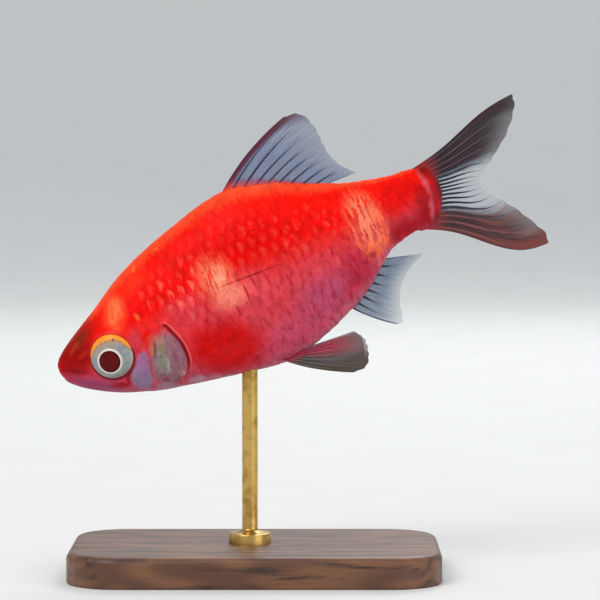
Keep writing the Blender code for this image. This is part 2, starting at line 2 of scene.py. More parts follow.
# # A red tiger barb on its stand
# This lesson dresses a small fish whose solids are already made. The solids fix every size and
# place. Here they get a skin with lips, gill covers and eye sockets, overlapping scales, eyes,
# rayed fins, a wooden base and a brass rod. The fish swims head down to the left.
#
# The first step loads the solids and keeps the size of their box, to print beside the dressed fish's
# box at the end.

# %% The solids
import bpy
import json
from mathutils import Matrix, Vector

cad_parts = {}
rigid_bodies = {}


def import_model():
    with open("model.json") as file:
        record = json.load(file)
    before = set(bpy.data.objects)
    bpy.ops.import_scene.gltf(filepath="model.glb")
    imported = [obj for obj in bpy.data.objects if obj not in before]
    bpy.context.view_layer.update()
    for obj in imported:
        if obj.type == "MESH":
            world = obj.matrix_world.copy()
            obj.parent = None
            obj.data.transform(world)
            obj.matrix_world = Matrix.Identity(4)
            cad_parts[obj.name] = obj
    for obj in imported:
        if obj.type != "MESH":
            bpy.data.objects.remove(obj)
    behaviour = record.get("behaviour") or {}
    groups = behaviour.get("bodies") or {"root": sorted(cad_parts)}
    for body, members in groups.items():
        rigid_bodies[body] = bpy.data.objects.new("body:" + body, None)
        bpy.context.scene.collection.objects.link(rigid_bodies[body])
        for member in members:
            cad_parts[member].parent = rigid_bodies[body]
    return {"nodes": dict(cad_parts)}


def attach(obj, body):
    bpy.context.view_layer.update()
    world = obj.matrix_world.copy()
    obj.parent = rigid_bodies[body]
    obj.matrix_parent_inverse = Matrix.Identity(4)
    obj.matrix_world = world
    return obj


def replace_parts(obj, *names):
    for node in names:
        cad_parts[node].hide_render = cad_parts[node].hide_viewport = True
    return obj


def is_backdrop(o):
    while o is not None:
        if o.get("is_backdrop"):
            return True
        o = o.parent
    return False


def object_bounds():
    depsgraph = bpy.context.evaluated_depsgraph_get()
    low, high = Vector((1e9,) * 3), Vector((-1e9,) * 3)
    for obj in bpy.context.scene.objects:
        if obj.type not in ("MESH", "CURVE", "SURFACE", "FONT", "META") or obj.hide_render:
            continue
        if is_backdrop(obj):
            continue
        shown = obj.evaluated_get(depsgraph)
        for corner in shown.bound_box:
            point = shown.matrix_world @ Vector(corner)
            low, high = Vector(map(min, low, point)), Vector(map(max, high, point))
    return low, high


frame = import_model()
solid_low, solid_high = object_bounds()
solid_size = [round(1000 * size, 1) for size in solid_high - solid_low]
print("solids:", len(frame["nodes"]), "nodes,", solid_size, "mm")

# %% [markdown]
# ## Sizes that the solids share
# The fish is thought of straight and level first: u runs from the snout to the tail, w to the
# fish's right and v up, all as shares of the standard length. The outline is a short table of
# stations that smooth curves join, so one function gives the body's section anywhere.

# %% Driving sizes of the body
import json
from math import atan, cos, degrees, hypot, pi, radians, sin, tan

import bpy
import numpy as np
from mathutils import Vector

STANDARD_LENGTH = 0.047
HEAD_DOWN = radians(24.5)
SNOUT_PLACE = np.array([-0.0225, 0.0, 0.0237])
SWEEP_FROM = 0.55
SWEEP_CURVE = tan(radians(12)) / (2 * (1 - SWEEP_FROM) * STANDARD_LENGTH)
STATIONS = [
    (0.000, -0.0135, -0.0135, 0.000),
    (0.005, 0.0065, -0.0410, 0.015),
    (0.02, 0.0210, -0.0600, 0.027),
    (0.06, 0.0465, -0.0915, 0.047),
    (0.13, 0.0830, -0.1300, 0.066),
    (0.24, 0.1420, -0.1660, 0.087),
    (0.40, 0.1925, -0.2010, 0.098),
    (0.52, 0.2155, -0.2205, 0.096),
    (0.64, 0.1870, -0.1945, 0.078),
    (0.76, 0.1335, -0.1390, 0.052),
    (0.86, 0.1005, -0.0755, 0.033),
    (0.94, 0.0830, -0.0640, 0.022),
    (1.00, 0.0810, -0.0765, 0.013),
]
print("body:", len(STATIONS), "stations on", round(STANDARD_LENGTH * 1000), "mm")


# %% Smooth curves
class Smooth:
    """A cubic curve through points that doesn't overshoot between them."""

    def __init__(self, xs, ys):
        self.xs = np.array(xs, float)
        self.ys = np.array(ys, float)
        self.run = np.diff(self.xs)
        rise = np.diff(self.ys) / self.run
        self.slope = np.concatenate([rise[:1], np.zeros(len(rise) - 1), rise[-1:]])
        for i in range(1, len(rise)):
            before, after = rise[i - 1], rise[i]
            if before * after > 0:
                far = 2 * self.run[i] + self.run[i - 1]
                near = self.run[i] + 2 * self.run[i - 1]
                self.slope[i] = (far + near) / (far / before + near / after)

    def __call__(self, x):
        x = np.clip(x, self.xs[0], self.xs[-1])
        i = np.clip(np.searchsorted(self.xs, x) - 1, 0, len(self.run) - 1)
        t = (x - self.xs[i]) / self.run[i]
        start = (1 + 2 * t) * (1 - t) ** 2 * self.ys[i] + t * (1 - t) ** 2 * self.run[i] * self.slope[i]
        end = t * t * (3 - 2 * t) * self.ys[i + 1] + t * t * (t - 1) * self.run[i] * self.slope[i + 1]
        return start + end


def smooth_step(low, high, x):
    t = np.clip((x - low) / (high - low), 0.0, 1.0)
    return t * t * (3 - 2 * t)


def swell(x, centre, width):
    """A soft round bump, 1 at its centre."""
    return np.exp(-(((x - centre) / width) ** 2))


print("a swell at its edge:", round(float(swell(1, 0, 1)), 2))

# %% The body's section
BACK_POWER = 1.85
BELLY_POWER = 2.0
SKIN_END = 1.022
THIN_FROM = 0.985
THIN_END = SKIN_END + 0.003
THINNEST = 0.12
TAIL_TILT = 0.227
TAIL_ROUNDING = 6.0

STATION_ROOTS = [row[0] ** 0.5 for row in STATIONS]
BACK = Smooth(STATION_ROOTS, [row[1] for row in STATIONS])
BELLY = Smooth(STATION_ROOTS, [row[2] for row in STATIONS])
HALF_WIDTH = Smooth(STATION_ROOTS, [row[3] for row in STATIONS])


def section(u):
    """Middle height, half height and half width of the body at u. Past the tail's bones the
    flesh thins out over the fin's root."""
    root = np.sqrt(np.clip(u, 0, 1))
    back, belly = BACK(root), BELLY(root)
    thinning = np.clip(1 - (u - THIN_FROM) / (THIN_END - THIN_FROM), THINNEST, 1)
    return (back + belly) / 2, (back - belly) / 2, HALF_WIDTH(root) * thinning


def flank(u, v):
    """Half width of the body at u and v."""
    middle, half_height, half_width = section(u)
    power = np.where(v > middle, BACK_POWER, BELLY_POWER)
    share = np.minimum(np.abs(v - middle) / half_height, 1.0)
    return half_width * (1 - share**power) ** (1 / power)


def tail_edge(u, v):
    """How far the tail's end moves back at height v, to round and tilt it."""
    return (TAIL_TILT * v - TAIL_ROUNDING * v * v) * smooth_step(0.90, 1.0, u)


deepest, widest = 2 * float(section(0.52)[1]), 2 * float(section(0.4)[2])
print("deepest:", round(deepest, 3), "and widest:", round(widest, 3), "of the standard length")

# %% [markdown]
# ## From the straight fish to the posed one
# The rear body bends to the fish's right in a parabola that leaves the side view as it is. Then
# the whole fish tips about its snout. An armature could bend it, but every mesh here is worked out
# straight and sent through one formula, so skin, scales and fins bend alike.

# %% Sweep and pose
def posed(points):
    """World places, in metres, of points of the straight fish."""
    x, y, z = np.moveaxis(np.asarray(points, float) * STANDARD_LENGTH, -1, 0)
    past = np.maximum(x - SWEEP_FROM * STANDARD_LENGTH, 0)
    turn = np.arctan(2 * SWEEP_CURVE * past)
    x, y = x - y * np.sin(turn) * (past > 0), SWEEP_CURVE * past**2 + y * np.cos(turn)
    along = x * cos(HEAD_DOWN) - z * sin(HEAD_DOWN)
    up = x * sin(HEAD_DOWN) + z * cos(HEAD_DOWN)
    return np.stack([along, y, up], -1) + SNOUT_PLACE


snout, tail_root = posed([(0, 0, 0), (1, 0, 0)])
print("snout at", np.round(snout * 1000, 1), "mm, tail root at", np.round(tail_root * 1000, 1), "mm")

# %% [markdown]
# ## Studio
# The floor is one round pale sheet whose edge curves up all round. A flat one would show its far
# edge, and this way every view has the same plain background. Three large soft lamps and a dim
# even sky light it. The camera stands square to the left flank, a little above level, with a long
# lens, so that the fish shows as flat as in the picture: 600 image points span 68.1 mm at the fish.

# %% Floor
FLOOR_REACH = 0.60
FLOOR_RISE = 0.45
FLOOR_SIDES = 96


def plain_object(name, points, faces):
    mesh = bpy.data.meshes.new(name)
    mesh.from_pydata(np.asarray(points).tolist(), [], faces)
    piece = bpy.data.objects.new(name, mesh)
    bpy.context.scene.collection.objects.link(piece)
    return piece


def ring_faces(rings, sides):
    """Four-sided faces between closed rings of points, turned out when the rings run upwards."""
    faces = []
    for r in range(rings - 1):
        for k in range(sides):
            after = (k + 1) % sides
            low, high = r * sides, (r + 1) * sides
            faces.append((low + k, low + after, high + after, high + k))
    return faces


def circle(sides):
    """Angles of points spaced evenly round a circle."""
    return np.arange(sides) * 2 * pi / sides


def studio_floor():
    flat = [(FLOOR_REACH * t, 0.0) for t in (0.02, 0.2, 0.5, 0.8, 1.0)]
    curve = [radians(a) for a in range(9, 91, 9)]
    rise = [(FLOOR_REACH + FLOOR_RISE * sin(a), FLOOR_RISE * (1 - cos(a))) for a in curve]
    turns = circle(FLOOR_SIDES)
    points = []
    for radius, height in flat + rise:
        ring = [radius * np.cos(turns), radius * np.sin(turns), 0 * turns + height]
        points += np.stack(ring, -1).tolist()
    faces = ring_faces(len(flat + rise), FLOOR_SIDES) + [tuple(range(FLOOR_SIDES))[::-1]]
    floor = plain_object("studio_floor", points, faces)
    floor.data.shade_smooth()
    floor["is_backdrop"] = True
    return floor


floor = studio_floor()
print("floor:", len(floor.data.polygons), "faces")

# %% Lamps, sky and camera
PICTURE_WIDTH = 0.0681
PICTURE_CENTRE = Vector((0.0051, 0.0, 0.0312))
CAMERA_DISTANCE = 0.34
CAMERA_ELEVATION = radians(3)


def lamp(name, place, size, power, colour):
    data = bpy.data.lights.new(name, "AREA")
    data.size = size
    data.energy = power
    data.color = colour
    piece = bpy.data.objects.new(name, data)
    piece.location = place
    piece.rotation_euler = (PICTURE_CENTRE - Vector(place)).to_track_quat("-Z", "Y").to_euler()
    bpy.context.scene.collection.objects.link(piece)


def camera():
    data = bpy.data.cameras.new("camera")
    data.lens = data.sensor_width * CAMERA_DISTANCE / PICTURE_WIDTH
    data.clip_start = 0.01
    piece = bpy.data.objects.new("camera", data)
    back = Vector((0, -cos(CAMERA_ELEVATION), sin(CAMERA_ELEVATION)))
    piece.location = PICTURE_CENTRE + back * CAMERA_DISTANCE
    piece.rotation_euler = (-back).to_track_quat("-Z", "Y").to_euler()
    bpy.context.scene.collection.objects.link(piece)
    bpy.context.scene.camera = piece


lamp("key_lamp", (-0.26, -0.36, 0.46), 0.34, 1.7, (1.0, 0.98, 0.95))
lamp("fill_lamp", (0.42, -0.34, 0.16), 0.40, 0.6, (0.93, 0.97, 1.0))
lamp("rim_lamp", (0.10, 0.42, 0.40), 0.30, 1.1, (1.0, 1.0, 1.0))
camera()
sky = bpy.data.worlds.new("even_sky")
bpy.context.scene.world = sky
sky.use_nodes = True
glow = sky.node_tree.nodes["Background"].inputs
glow["Color"].default_value = (0.86, 0.92, 1.0, 1)
glow["Strength"].default_value = 0.62
bpy.context.scene.view_settings.view_transform = "Standard"
print("camera lens:", round(bpy.context.scene.camera.data.lens), "mm")

# %% [markdown]
# ## Wiring materials
# Every finish here is a net of shader nodes. A few short calls lay nodes and join them, and sums
# and products of their outputs lay the math nodes, so that a material reads as a list of formulas.
# Colours are written as screen codes and turned into the linear values that a shader takes.


# %% Colours and wires
def paint(code):
    """A shader colour from a screen code such as FF8040."""
    parts = [int(code[i : i + 2], 16) / 255 for i in (0, 2, 4)]
    linear = [c / 12.92 if c <= 0.04045 else ((c + 0.055) / 1.055) ** 2.4 for c in parts]
    return (*linear, 1.0)


class Wire:
    """What one socket gives. A sum or product of wires and numbers lays a math node."""

    def __init__(self, board, socket):
        self.board = board
        self.socket = socket

    def __add__(self, other):
        return self.board.math("ADD", self, other)

    def __radd__(self, other):
        return self.board.math("ADD", other, self)

    def __sub__(self, other):
        return self.board.math("SUBTRACT", self, other)

    def __rsub__(self, other):
        return self.board.math("SUBTRACT", other, self)

    def __mul__(self, other):
        return self.board.math("MULTIPLY", self, other)

    def __truediv__(self, other):
        return self.board.math("DIVIDE", self, other)

    def __rtruediv__(self, other):
        return self.board.math("DIVIDE", other, self)

    def __pow__(self, other):
        return self.board.math("POWER", self, other)

    def __abs__(self):
        return self.board.math("ABSOLUTE", self)


print("orange for a shader:", [round(part, 3) for part in paint("FF8040")])


# %% A board of nodes
class Board:
    """A shader tree with short calls to lay nodes and wire them."""

    def __init__(self, tree):
        self.tree = tree

    def feed(self, value, socket):
        """Links a wire to an input, or sets the input to a plain value."""
        if isinstance(value, Wire):
            self.tree.links.new(value.socket, socket)
        else:
            socket.default_value = value

    def node(self, kind, wires, **settings):
        node = self.tree.nodes.new(kind)
        for name, value in settings.items():
            setattr(node, name, value)
        for key, value in wires.items():
            self.feed(value, node.inputs[key])
        return node

    def lay(self, kind, wires, output=0, **settings):
        """Lays a node and gives one of its outputs."""
        return Wire(self, self.node(kind, wires, **settings).outputs[output])

    def math(self, operation, first, second=0.0):
        return self.lay("ShaderNodeMath", {0: first, 1: second}, operation=operation)

    def vector(self, operation, first, second=(0, 0, 0), output=0):
        return self.lay("ShaderNodeVectorMath", {0: first, 1: second}, output, operation=operation)

    def split(self, vector):
        """The three parts of a vector."""
        node = self.node("ShaderNodeSeparateXYZ", {"Vector": vector})
        return [Wire(self, socket) for socket in node.outputs]

    def between(self, value, low, high):
        """0 below low and 1 above high, or the other way round, with soft ends."""
        wires = {"Value": value, "From Min": low, "From Max": high}
        return self.lay("ShaderNodeMapRange", wires, interpolation_type="SMOOTHSTEP")

    def blend(self, factor, first, second, mode="MIX"):
        wires = {0: factor, 6: first, 7: second}
        return self.lay("ShaderNodeMix", wires, 2, data_type="RGBA", blend_type=mode)

    def shaded(self, colour, shade):
        """The colour times a shade round 1."""
        grey = self.lay("ShaderNodeCombineColor", {0: shade, 1: shade, 2: shade})
        return self.blend(1.0, colour, grey, "MULTIPLY")

    def noise(self, place, scale, detail=3.0, rough=0.55, output="Fac"):
        """Soft noise. Three scales stretch it along the body."""
        if isinstance(scale, tuple):
            place, scale = self.vector("MULTIPLY", place, scale), 1.0
        wires = {"Vector": place, "Scale": scale, "Detail": detail, "Roughness": rough}
        return self.lay("ShaderNodeTexNoise", wires, output)

    def ramp(self, factor, stops):
        node = self.node("ShaderNodeValToRGB", {"Fac": factor})
        node.color_ramp.interpolation = "EASE"
        while len(node.color_ramp.elements) < len(stops):
            node.color_ramp.elements.new(1.0)
        for element, (position, code) in zip(node.color_ramp.elements, stops):
            element.position = position
            element.color = paint(code)
        return Wire(self, node.outputs["Color"])

    def stored(self, name, output="Fac"):
        """A value kept at the mesh's points, read as a number or as a Vector."""
        return self.lay("ShaderNodeAttribute", {}, output, attribute_name=name)

    def group(self, tree, wires):
        node = self.node("ShaderNodeGroup", {}, node_tree=tree)
        for key, value in wires.items():
            self.feed(value, node.inputs[key])
        return {socket.name: Wire(self, socket) for socket in node.outputs}


print("calls of a board:", ", ".join(name for name in vars(Board) if name[0] != "_"))

# %% Groups and materials
SOCKETS = {"v": "NodeSocketVector", "f": "NodeSocketFloat", "c": "NodeSocketColor"}


def effect(name, takes, gives):
    """A new node group with named sockets: its tree, board, inputs and output node."""
    tree = bpy.data.node_groups.new(name, "ShaderNodeTree")
    for word, kind in takes.items():
        tree.interface.new_socket(name=word, in_out="INPUT", socket_type=SOCKETS[kind])
    for word, kind in gives.items():
        tree.interface.new_socket(name=word, in_out="OUTPUT", socket_type=SOCKETS[kind])
    board = Board(tree)
    source = tree.nodes.new("NodeGroupInput")
    given = {word: Wire(board, source.outputs[word]) for word in takes}
    return tree, board, given, tree.nodes.new("NodeGroupOutput")


def deliver(board, output, values):
    for word, value in values.items():
        board.feed(value, output.inputs[word])


def finish(name, roughness=0.5, metallic=0.0, coat=0.0, coat_roughness=0.1, specular=0.5):
    """A new material, its board and its Principled shader."""
    made = bpy.data.materials.new(name)
    made.use_nodes = True
    shader = made.node_tree.nodes["Principled BSDF"]
    shader.inputs["Roughness"].default_value = roughness
    shader.inputs["Metallic"].default_value = metallic
    shader.inputs["Coat Weight"].default_value = coat
    shader.inputs["Coat Roughness"].default_value = coat_roughness
    shader.inputs["Specular IOR Level"].default_value = specular
    return made, Board(made.node_tree), shader


def connect(board, shader, **values):
    for word, value in values.items():
        board.feed(value, shader.inputs[word.replace("_", " ")])


def raised(board, shader, height, depth, strength=1.0):
    """Feeds a height map to the shader's normal, as so many metres of relief."""
    wires = {"Height": height, "Distance": depth, "Strength": strength}
    connect(board, shader, Normal=board.lay("ShaderNodeBump", wires))


print("sockets of a group:", ", ".join(SOCKETS.values()))

# %% Floor finish
floor_finish, board, shader = finish("floor_paper", roughness=0.9, specular=0.2)
place = board.lay("ShaderNodeTexCoord", {}, "Object")
tint = board.blend(board.noise(place, 60.0), paint("E9E8E4"), paint("EEEDEA"))
connect(board, shader, Base_Color=tint)
floor.data.materials.append(floor_finish)
print("floor finish:", len(floor_finish.node_tree.nodes), "nodes")

# %% [markdown]
# ## Places on the skin
# Scales and skin rings need places by distance round the body, not by angle, or they would bunch
# up on the back. A table turns a share of the half girth, 0 on the back and 1 under the belly,
# into the angle of the section there. A share past either end goes on round the other side.

# %% The girth table
END_LOWERED = 0.10
END_LOWERED_FROM = 0.965


def hull(u, angle):
    """A point of the section at u, by the angle from the fish's right over its back."""
    middle, high, wide = section(u)
    high = high * (1 - END_LOWERED * smooth_step(END_LOWERED_FROM, SKIN_END, u))
    over, up = np.cos(angle), np.sin(angle)
    power = 2 / np.where(up > 0, BACK_POWER, BELLY_POWER)
    w = np.sign(over) * np.abs(over) ** power * wide
    v = middle + np.sign(up) * np.abs(up) ** power * high
    return np.stack([u + tail_edge(u, v), w, v], -1)


TABLE_ROOTS = np.linspace(0.002, 1.05, 280)
TABLE_SHARES = np.linspace(0, 1, 181)
BELOW_ONE = 0.99999
LATERAL_LINE = 0.012
half_turn = np.linspace(pi / 2, 3 * pi / 2, 721)
girth_rows, angle_rows, line_rows = [], [], []
for root in TABLE_ROOTS:
    edge = hull(np.full(half_turn.shape, root**2), half_turn)
    steps = np.linalg.norm(np.diff(edge[:, 1:], axis=0), axis=1)
    run = np.concatenate([[0], np.cumsum(steps)])
    girth_rows.append(run[-1])
    angle_rows.append(np.interp(TABLE_SHARES, run / run[-1], half_turn))
    line_rows.append(np.interp(-LATERAL_LINE, -edge[:, 2], run))
ANGLE_TABLE = np.array(angle_rows)


def half_girth(u):
    return np.interp(np.sqrt(u), TABLE_ROOTS, girth_rows)


def line_depth(u):
    """Distance round the body from the back to the lateral line."""
    return np.interp(np.sqrt(u), TABLE_ROOTS, line_rows)


def angle_at(u, share):
    first, last = TABLE_ROOTS[0], TABLE_ROOTS[-1]
    along = (np.sqrt(np.maximum(u, 0)) - first) / (last - first)
    row = np.clip(along, 0, BELOW_ONE) * (len(TABLE_ROOTS) - 1)
    column = np.clip(share, 0, BELOW_ONE) * (len(TABLE_SHARES) - 1)
    i, j = row.astype(int), column.astype(int)
    s, t = row - i, column - j
    near = ANGLE_TABLE[i, j] * (1 - t) + ANGLE_TABLE[i, j + 1] * t
    far = ANGLE_TABLE[i + 1, j] * (1 - t) + ANGLE_TABLE[i + 1, j + 1] * t
    return near * (1 - s) + far * s


def bare(u, share, side):
    """A point of the plain body, before any relief."""
    u, share = np.broadcast_arrays(np.asarray(u, float), share)
    crossed = (share < 0) | (share > 1)
    folded = np.where(share < 0, -share, np.where(share > 1, 2 - share, share))
    point = hull(u, angle_at(u, folded))
    point[..., 1] = np.where(crossed, -side, side) * np.abs(point[..., 1])
    return point


def way_out(u, share, side):
    """The direction straight out of the plain body."""
    step = 0.002
    before, after = np.maximum(np.sqrt(u) - step, 0) ** 2, (np.sqrt(u) + step) ** 2
    ahead = bare(after, share, side) - bare(before, share, side)
    around = bare(u, share + step, side) - bare(u, share - step, side)
    out = side * np.cross(ahead, around)
    return out / np.maximum(np.linalg.norm(out, axis=-1, keepdims=True), 1e-12)


print("half girth where deepest:", round(float(half_girth(0.52)), 3))

# %% [markdown]
# ## Relief of the head
# A barb's head is bare skin over thin plates. It could be sculpted by hand, but heights worked out
# from a few lines are easier to keep true to the solids: lips on both sides of the mouth's slit,
# two nostril pits, the gill cover with its free rear edge, the shoulder ridge behind it, and low
# swellings at the roots of the fins.

# %% The gill cover's rim
COVER_OUTLINE = [
    (0.276, -0.0135),
    (0.2925, -0.0400),
    (0.3015, -0.0780),
    (0.2965, -0.1200),
    (0.2720, -0.1480),
    (0.2280, -0.1540),
    (0.1900, -0.1400),
    (0.2060, -0.0960),
    (0.2360, -0.0480),
]


def rounded(corners, steps):
    """A smooth closed curve through the corners."""
    corners = [np.array(corner) for corner in corners]
    curve = []
    for i in range(len(corners)):
        a, b, c, d = (corners[(i + k) % len(corners)] for k in (-1, 0, 1, 2))
        for step in range(steps):
            t = step / steps
            square, cube = 2 * a - 5 * b + 4 * c - d, 3 * b - a - 3 * c + d
            curve.append(b + ((c - a) * t + square * t**2 + cube * t**3) / 2)
    return np.array(curve)


COVER_RIM = rounded(COVER_OUTLINE, 8)


def cover_distance(u, v):
    """Distance outside the gill cover's rim, negative inside, and how far that stretch of the rim
    faces the tail, from -1 to 1."""
    spot = np.stack([u, v], -1)[..., None, :]
    start, end = COVER_RIM, np.roll(COVER_RIM, -1, axis=0)
    along = end - start
    length = np.linalg.norm(along, axis=1)
    outward = np.stack([-along[:, 1], along[:, 0]], -1) / length[:, None]
    t = np.clip(((spot - start) * along).sum(-1) / length**2, 0, 1)
    away = np.linalg.norm(spot - (start + along * t[..., None]), axis=-1)
    nearest = away.argmin(-1)
    outside = ((spot - start) * outward).sum(-1).max(-1) > 0
    distance = np.where(outside, 1, -1) * np.take_along_axis(away, nearest[..., None], -1)[..., 0]
    return distance, outward[nearest, 0]


print("gill cover rim:", len(COVER_RIM), "points")

# %% Heights of mouth and gill cover
MOUTH_TIP = np.array([0.001, -0.0105])
MOUTH_CORNER = np.array([0.056, -0.043])
LIP_RISE = 0.0009
MOUTH_SLIT = 0.0026
LIP_FOLD = 0.0009
CORNER_POCKET = 0.0018
COVER_RISE = 0.0046
COVER_GROOVE = 0.0024
SHOULDER_RIDGE = 0.0014
CHEEK_RISE = 0.0010
FAR_FROM_COVER = 0.2


def mouth_relief(u, v):
    """Height of lips and folds by t along the mouth's slit and n above it."""
    along = MOUTH_CORNER - MOUTH_TIP
    length = hypot(*along)
    back, up = u - MOUTH_TIP[0], v - MOUTH_TIP[1]
    t = (back * along[0] + up * along[1]) / length**2
    n = (up * along[0] - back * along[1]) / length
    here = 1 - smooth_step(0.80, 1.12, t)
    thin = 1 - 0.45 * np.clip(t, 0, 1)
    lips = LIP_RISE * thin * (swell(n, 0.0065, 0.0050) + 0.9 * swell(n, -0.0065, 0.0050))
    slit = MOUTH_SLIT * thin * swell(n, 0, 0.0012) * smooth_step(0.0, 0.12, t)
    folds = LIP_FOLD * (swell(n, 0.0205, 0.0030) + swell(n, -0.0195, 0.0030))
    pocket = CORNER_POCKET * swell(t, 1.08, 0.10) * swell(n, 0.0, 0.006)
    return here * (lips - slit - folds) - pocket


def cover_relief(u, v):
    """Height of the gill cover and the shoulder, the distance from the cover's rim, and how far
    that rim faces the tail, from 0 to 1."""
    height = np.zeros(u.shape)
    distance = np.full(u.shape, FAR_FROM_COVER)
    facing_tail = np.zeros(u.shape)
    near = (u > 0.12) & (u < 0.38) & (v < 0.05)
    gap, facing = cover_distance(u[near], v[near])
    rear = smooth_step(-0.10, 0.50, facing)
    rim_end = 0.0012 + 0.02 * (1 - rear)
    plate = COVER_RISE * smooth_step(-0.060, -0.006, gap) * (1 - smooth_step(-0.0022, rim_end, gap))
    groove = COVER_GROOVE * swell(gap, 0.0022, 0.0018) * (0.06 + 0.94 * rear)
    ridge = SHOULDER_RIDGE * swell(gap, 0.0072, 0.0028) * rear
    cheek = CHEEK_RISE * swell(gap, 0.0085, 0.006) * (1 - rear)
    height[near] = plate * (0.25 + 0.75 * rear) - groove + ridge + cheek
    distance[near] = gap
    facing_tail[near] = rear
    return height, distance, facing_tail


rises = [round(rise * STANDARD_LENGTH * 1e6) for rise in (LIP_RISE, COVER_RISE)]
print("lips and gill cover rise", rises, "thousandths of a millimetre")

# %% Relief of the whole skin
HEAD_MARKS_END = 0.12
NOSTRIL_DEPTH = 0.0046
# Swellings where fins grow: 1 on the back or -1 on the belly, then u where each starts, is full,
# fades and ends.
FIN_ROOTS = [(1, 0.50, 0.56, 0.76, 0.82), (-1, 0.68, 0.73, 0.82, 0.87)]
FIN_ROOT_WIDTH = 0.010
FIN_ROOT_RISE = 0.0045
NOSTRILS = [(0.0700, 0.0270, 0.0030), (0.0785, 0.0310, 0.0042)]


def relief(points):
    """Height over the plain body at points of it, with the gill cover's distance and facing."""
    u, w, v = np.moveaxis(points, -1, 0)
    height, distance, facing_tail = cover_relief(u, v)
    on_head = u < HEAD_MARKS_END
    height = height + mouth_relief(u, v) * on_head
    for at_u, at_v, radius in NOSTRILS:
        away = np.hypot(u - at_u, v - at_v) / radius
        height -= on_head * NOSTRIL_DEPTH * swell(away, 0, 0.85)
    middle = section(u)[0]
    for way, start, full, fading, end in FIN_ROOTS:
        mound = swell(w, 0, FIN_ROOT_WIDTH) * ((v - middle) * way > 0)
        mound = mound * smooth_step(start, full, u) * (1 - smooth_step(fading, end, u))
        height = height + FIN_ROOT_RISE * mound
    return height, distance, facing_tail


ridge = relief(bare(np.array([0.65]), 0.0, -1))[0]
print("skin at the dorsal fin's root rises", round(float(ridge[0]), 4), "of the standard length")

# %% [markdown]
# ## Eye sockets
# The eye is a flat-fronted ball that faces square out of the head. The head is round there, so the
# skin is drawn out to the eye's rim all round and sinks under the ball inside it. A boolean could
# cut the holes, but it would leave ragged faces at their rims. All of it is measured in the eye's
# own plane.

# %% Seats for the eyes
SIDES_OF_FISH = {"left": -1, "right": 1}
EYE = (0.1355, -0.0310)
EYE_RADIUS = 0.0535
EYE_PROUD = 0.016
EYE_RIM_LEVEL = -0.007
EYE_BED = 0.022
SOCKET_FROM = 0.004
SOCKET_REACH = 0.042
behind_eye, before_eye = (flank(EYE[0] + way * EYE_RADIUS, EYE[1]) for way in (1, -1))
EYE_TAPER = atan(float(behind_eye - before_eye) / (2 * EYE_RADIUS))


def eye_seat(side):
    """The eye's centre on the skin, and its directions back along the head, up and out."""
    centre = np.array([EYE[0], side * float(flank(*EYE)), EYE[1]])
    out = np.array([-sin(EYE_TAPER), side * cos(EYE_TAPER), 0])
    rearward = np.array([cos(EYE_TAPER), side * sin(EYE_TAPER), 0])
    return centre, rearward, np.array([0, 0, 1.0]), out


def seat_eyes(points):
    """Moves skin points so that they meet both eyes' rims."""
    points = points.copy()
    for side in SIDES_OF_FISH.values():
        centre, _, _, out = eye_seat(side)
        away = points - centre
        level = away @ out
        radius = np.linalg.norm(away - level[..., None] * out, axis=-1)
        near = 1 - smooth_step(EYE_RADIUS + SOCKET_FROM, EYE_RADIUS + SOCKET_REACH, radius)
        drawn = level + (np.maximum(level, EYE_RIM_LEVEL) - level) * near
        bed = EYE_RIM_LEVEL - EYE_BED * smooth_step(0, 0.025, EYE_RADIUS - radius)
        wanted = np.where(radius < EYE_RADIUS, np.minimum(drawn, bed), drawn)
        same_side = points[..., 1] * side > 0
        points += (same_side * (wanted - level))[..., None] * out
    return points


print("eyes turn forwards by", round(degrees(EYE_TAPER), 1), "degrees")

# %% [markdown]
# ## Skin
# One closed mesh covers head, jaw, gill covers, body and tail root, so no seam shows where the
# solids part. Its rings crowd together on the head, where the detail is. Each point remembers its
# place on the straight fish, its height between belly and back, and its distance from the gill
# cover, and the colours are worked out from those. The unwrap is the ring by the way round.

# %% Rings of the skin
LEAST_HEIGHT = 1e-9
HEAD_RINGS = 270
BODY_RINGS = 128
SKIN_SIDES = 240
HEAD_END = 0.32
head_roots = np.linspace(0, HEAD_END**0.5, HEAD_RINGS + 1)[1:]
body_roots = np.sqrt(np.linspace(HEAD_END, SKIN_END, BODY_RINGS + 1)[1:])
RING_PLACES = np.concatenate([head_roots, body_roots]) ** 2


def give_values(mesh, values):
    """Stores named values at the mesh's points: a row of three makes a vector."""
    for name, data in values.items():
        data = np.asarray(data, np.float32)
        kind = "FLOAT_VECTOR" if data.ndim == 2 else "FLOAT"
        layer = mesh.attributes.new(name, kind, "POINT")
        layer.data.foreach_set("vector" if data.ndim == 2 else "value", data.ravel())


def clad(piece, material, sharp):
    """Smooths a piece, gives it a material and a slot, and lets it ride the one body."""
    piece.data.shade_smooth()
    piece.data.set_sharp_from_angle(angle=radians(sharp))
    piece.data.materials.append(material)
    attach(piece, "root")
    return piece


def dressed(name, points, faces, material, values, sharp):
    """A finished piece of the fish from points of the straight fish."""
    piece = plain_object(name, posed(points), faces)
    give_values(piece.data, values)
    return clad(piece, material, sharp)


def height_share(u, v):
    """0 at the belly and 1 at the back. The snout's tip has no height to divide by."""
    middle, high, _ = section(u)
    return np.clip((v - middle) / np.maximum(2 * high, LEAST_HEIGHT) + 0.5, 0, 1)


print("skin:", len(RING_PLACES), "rings of", SKIN_SIDES, "points")


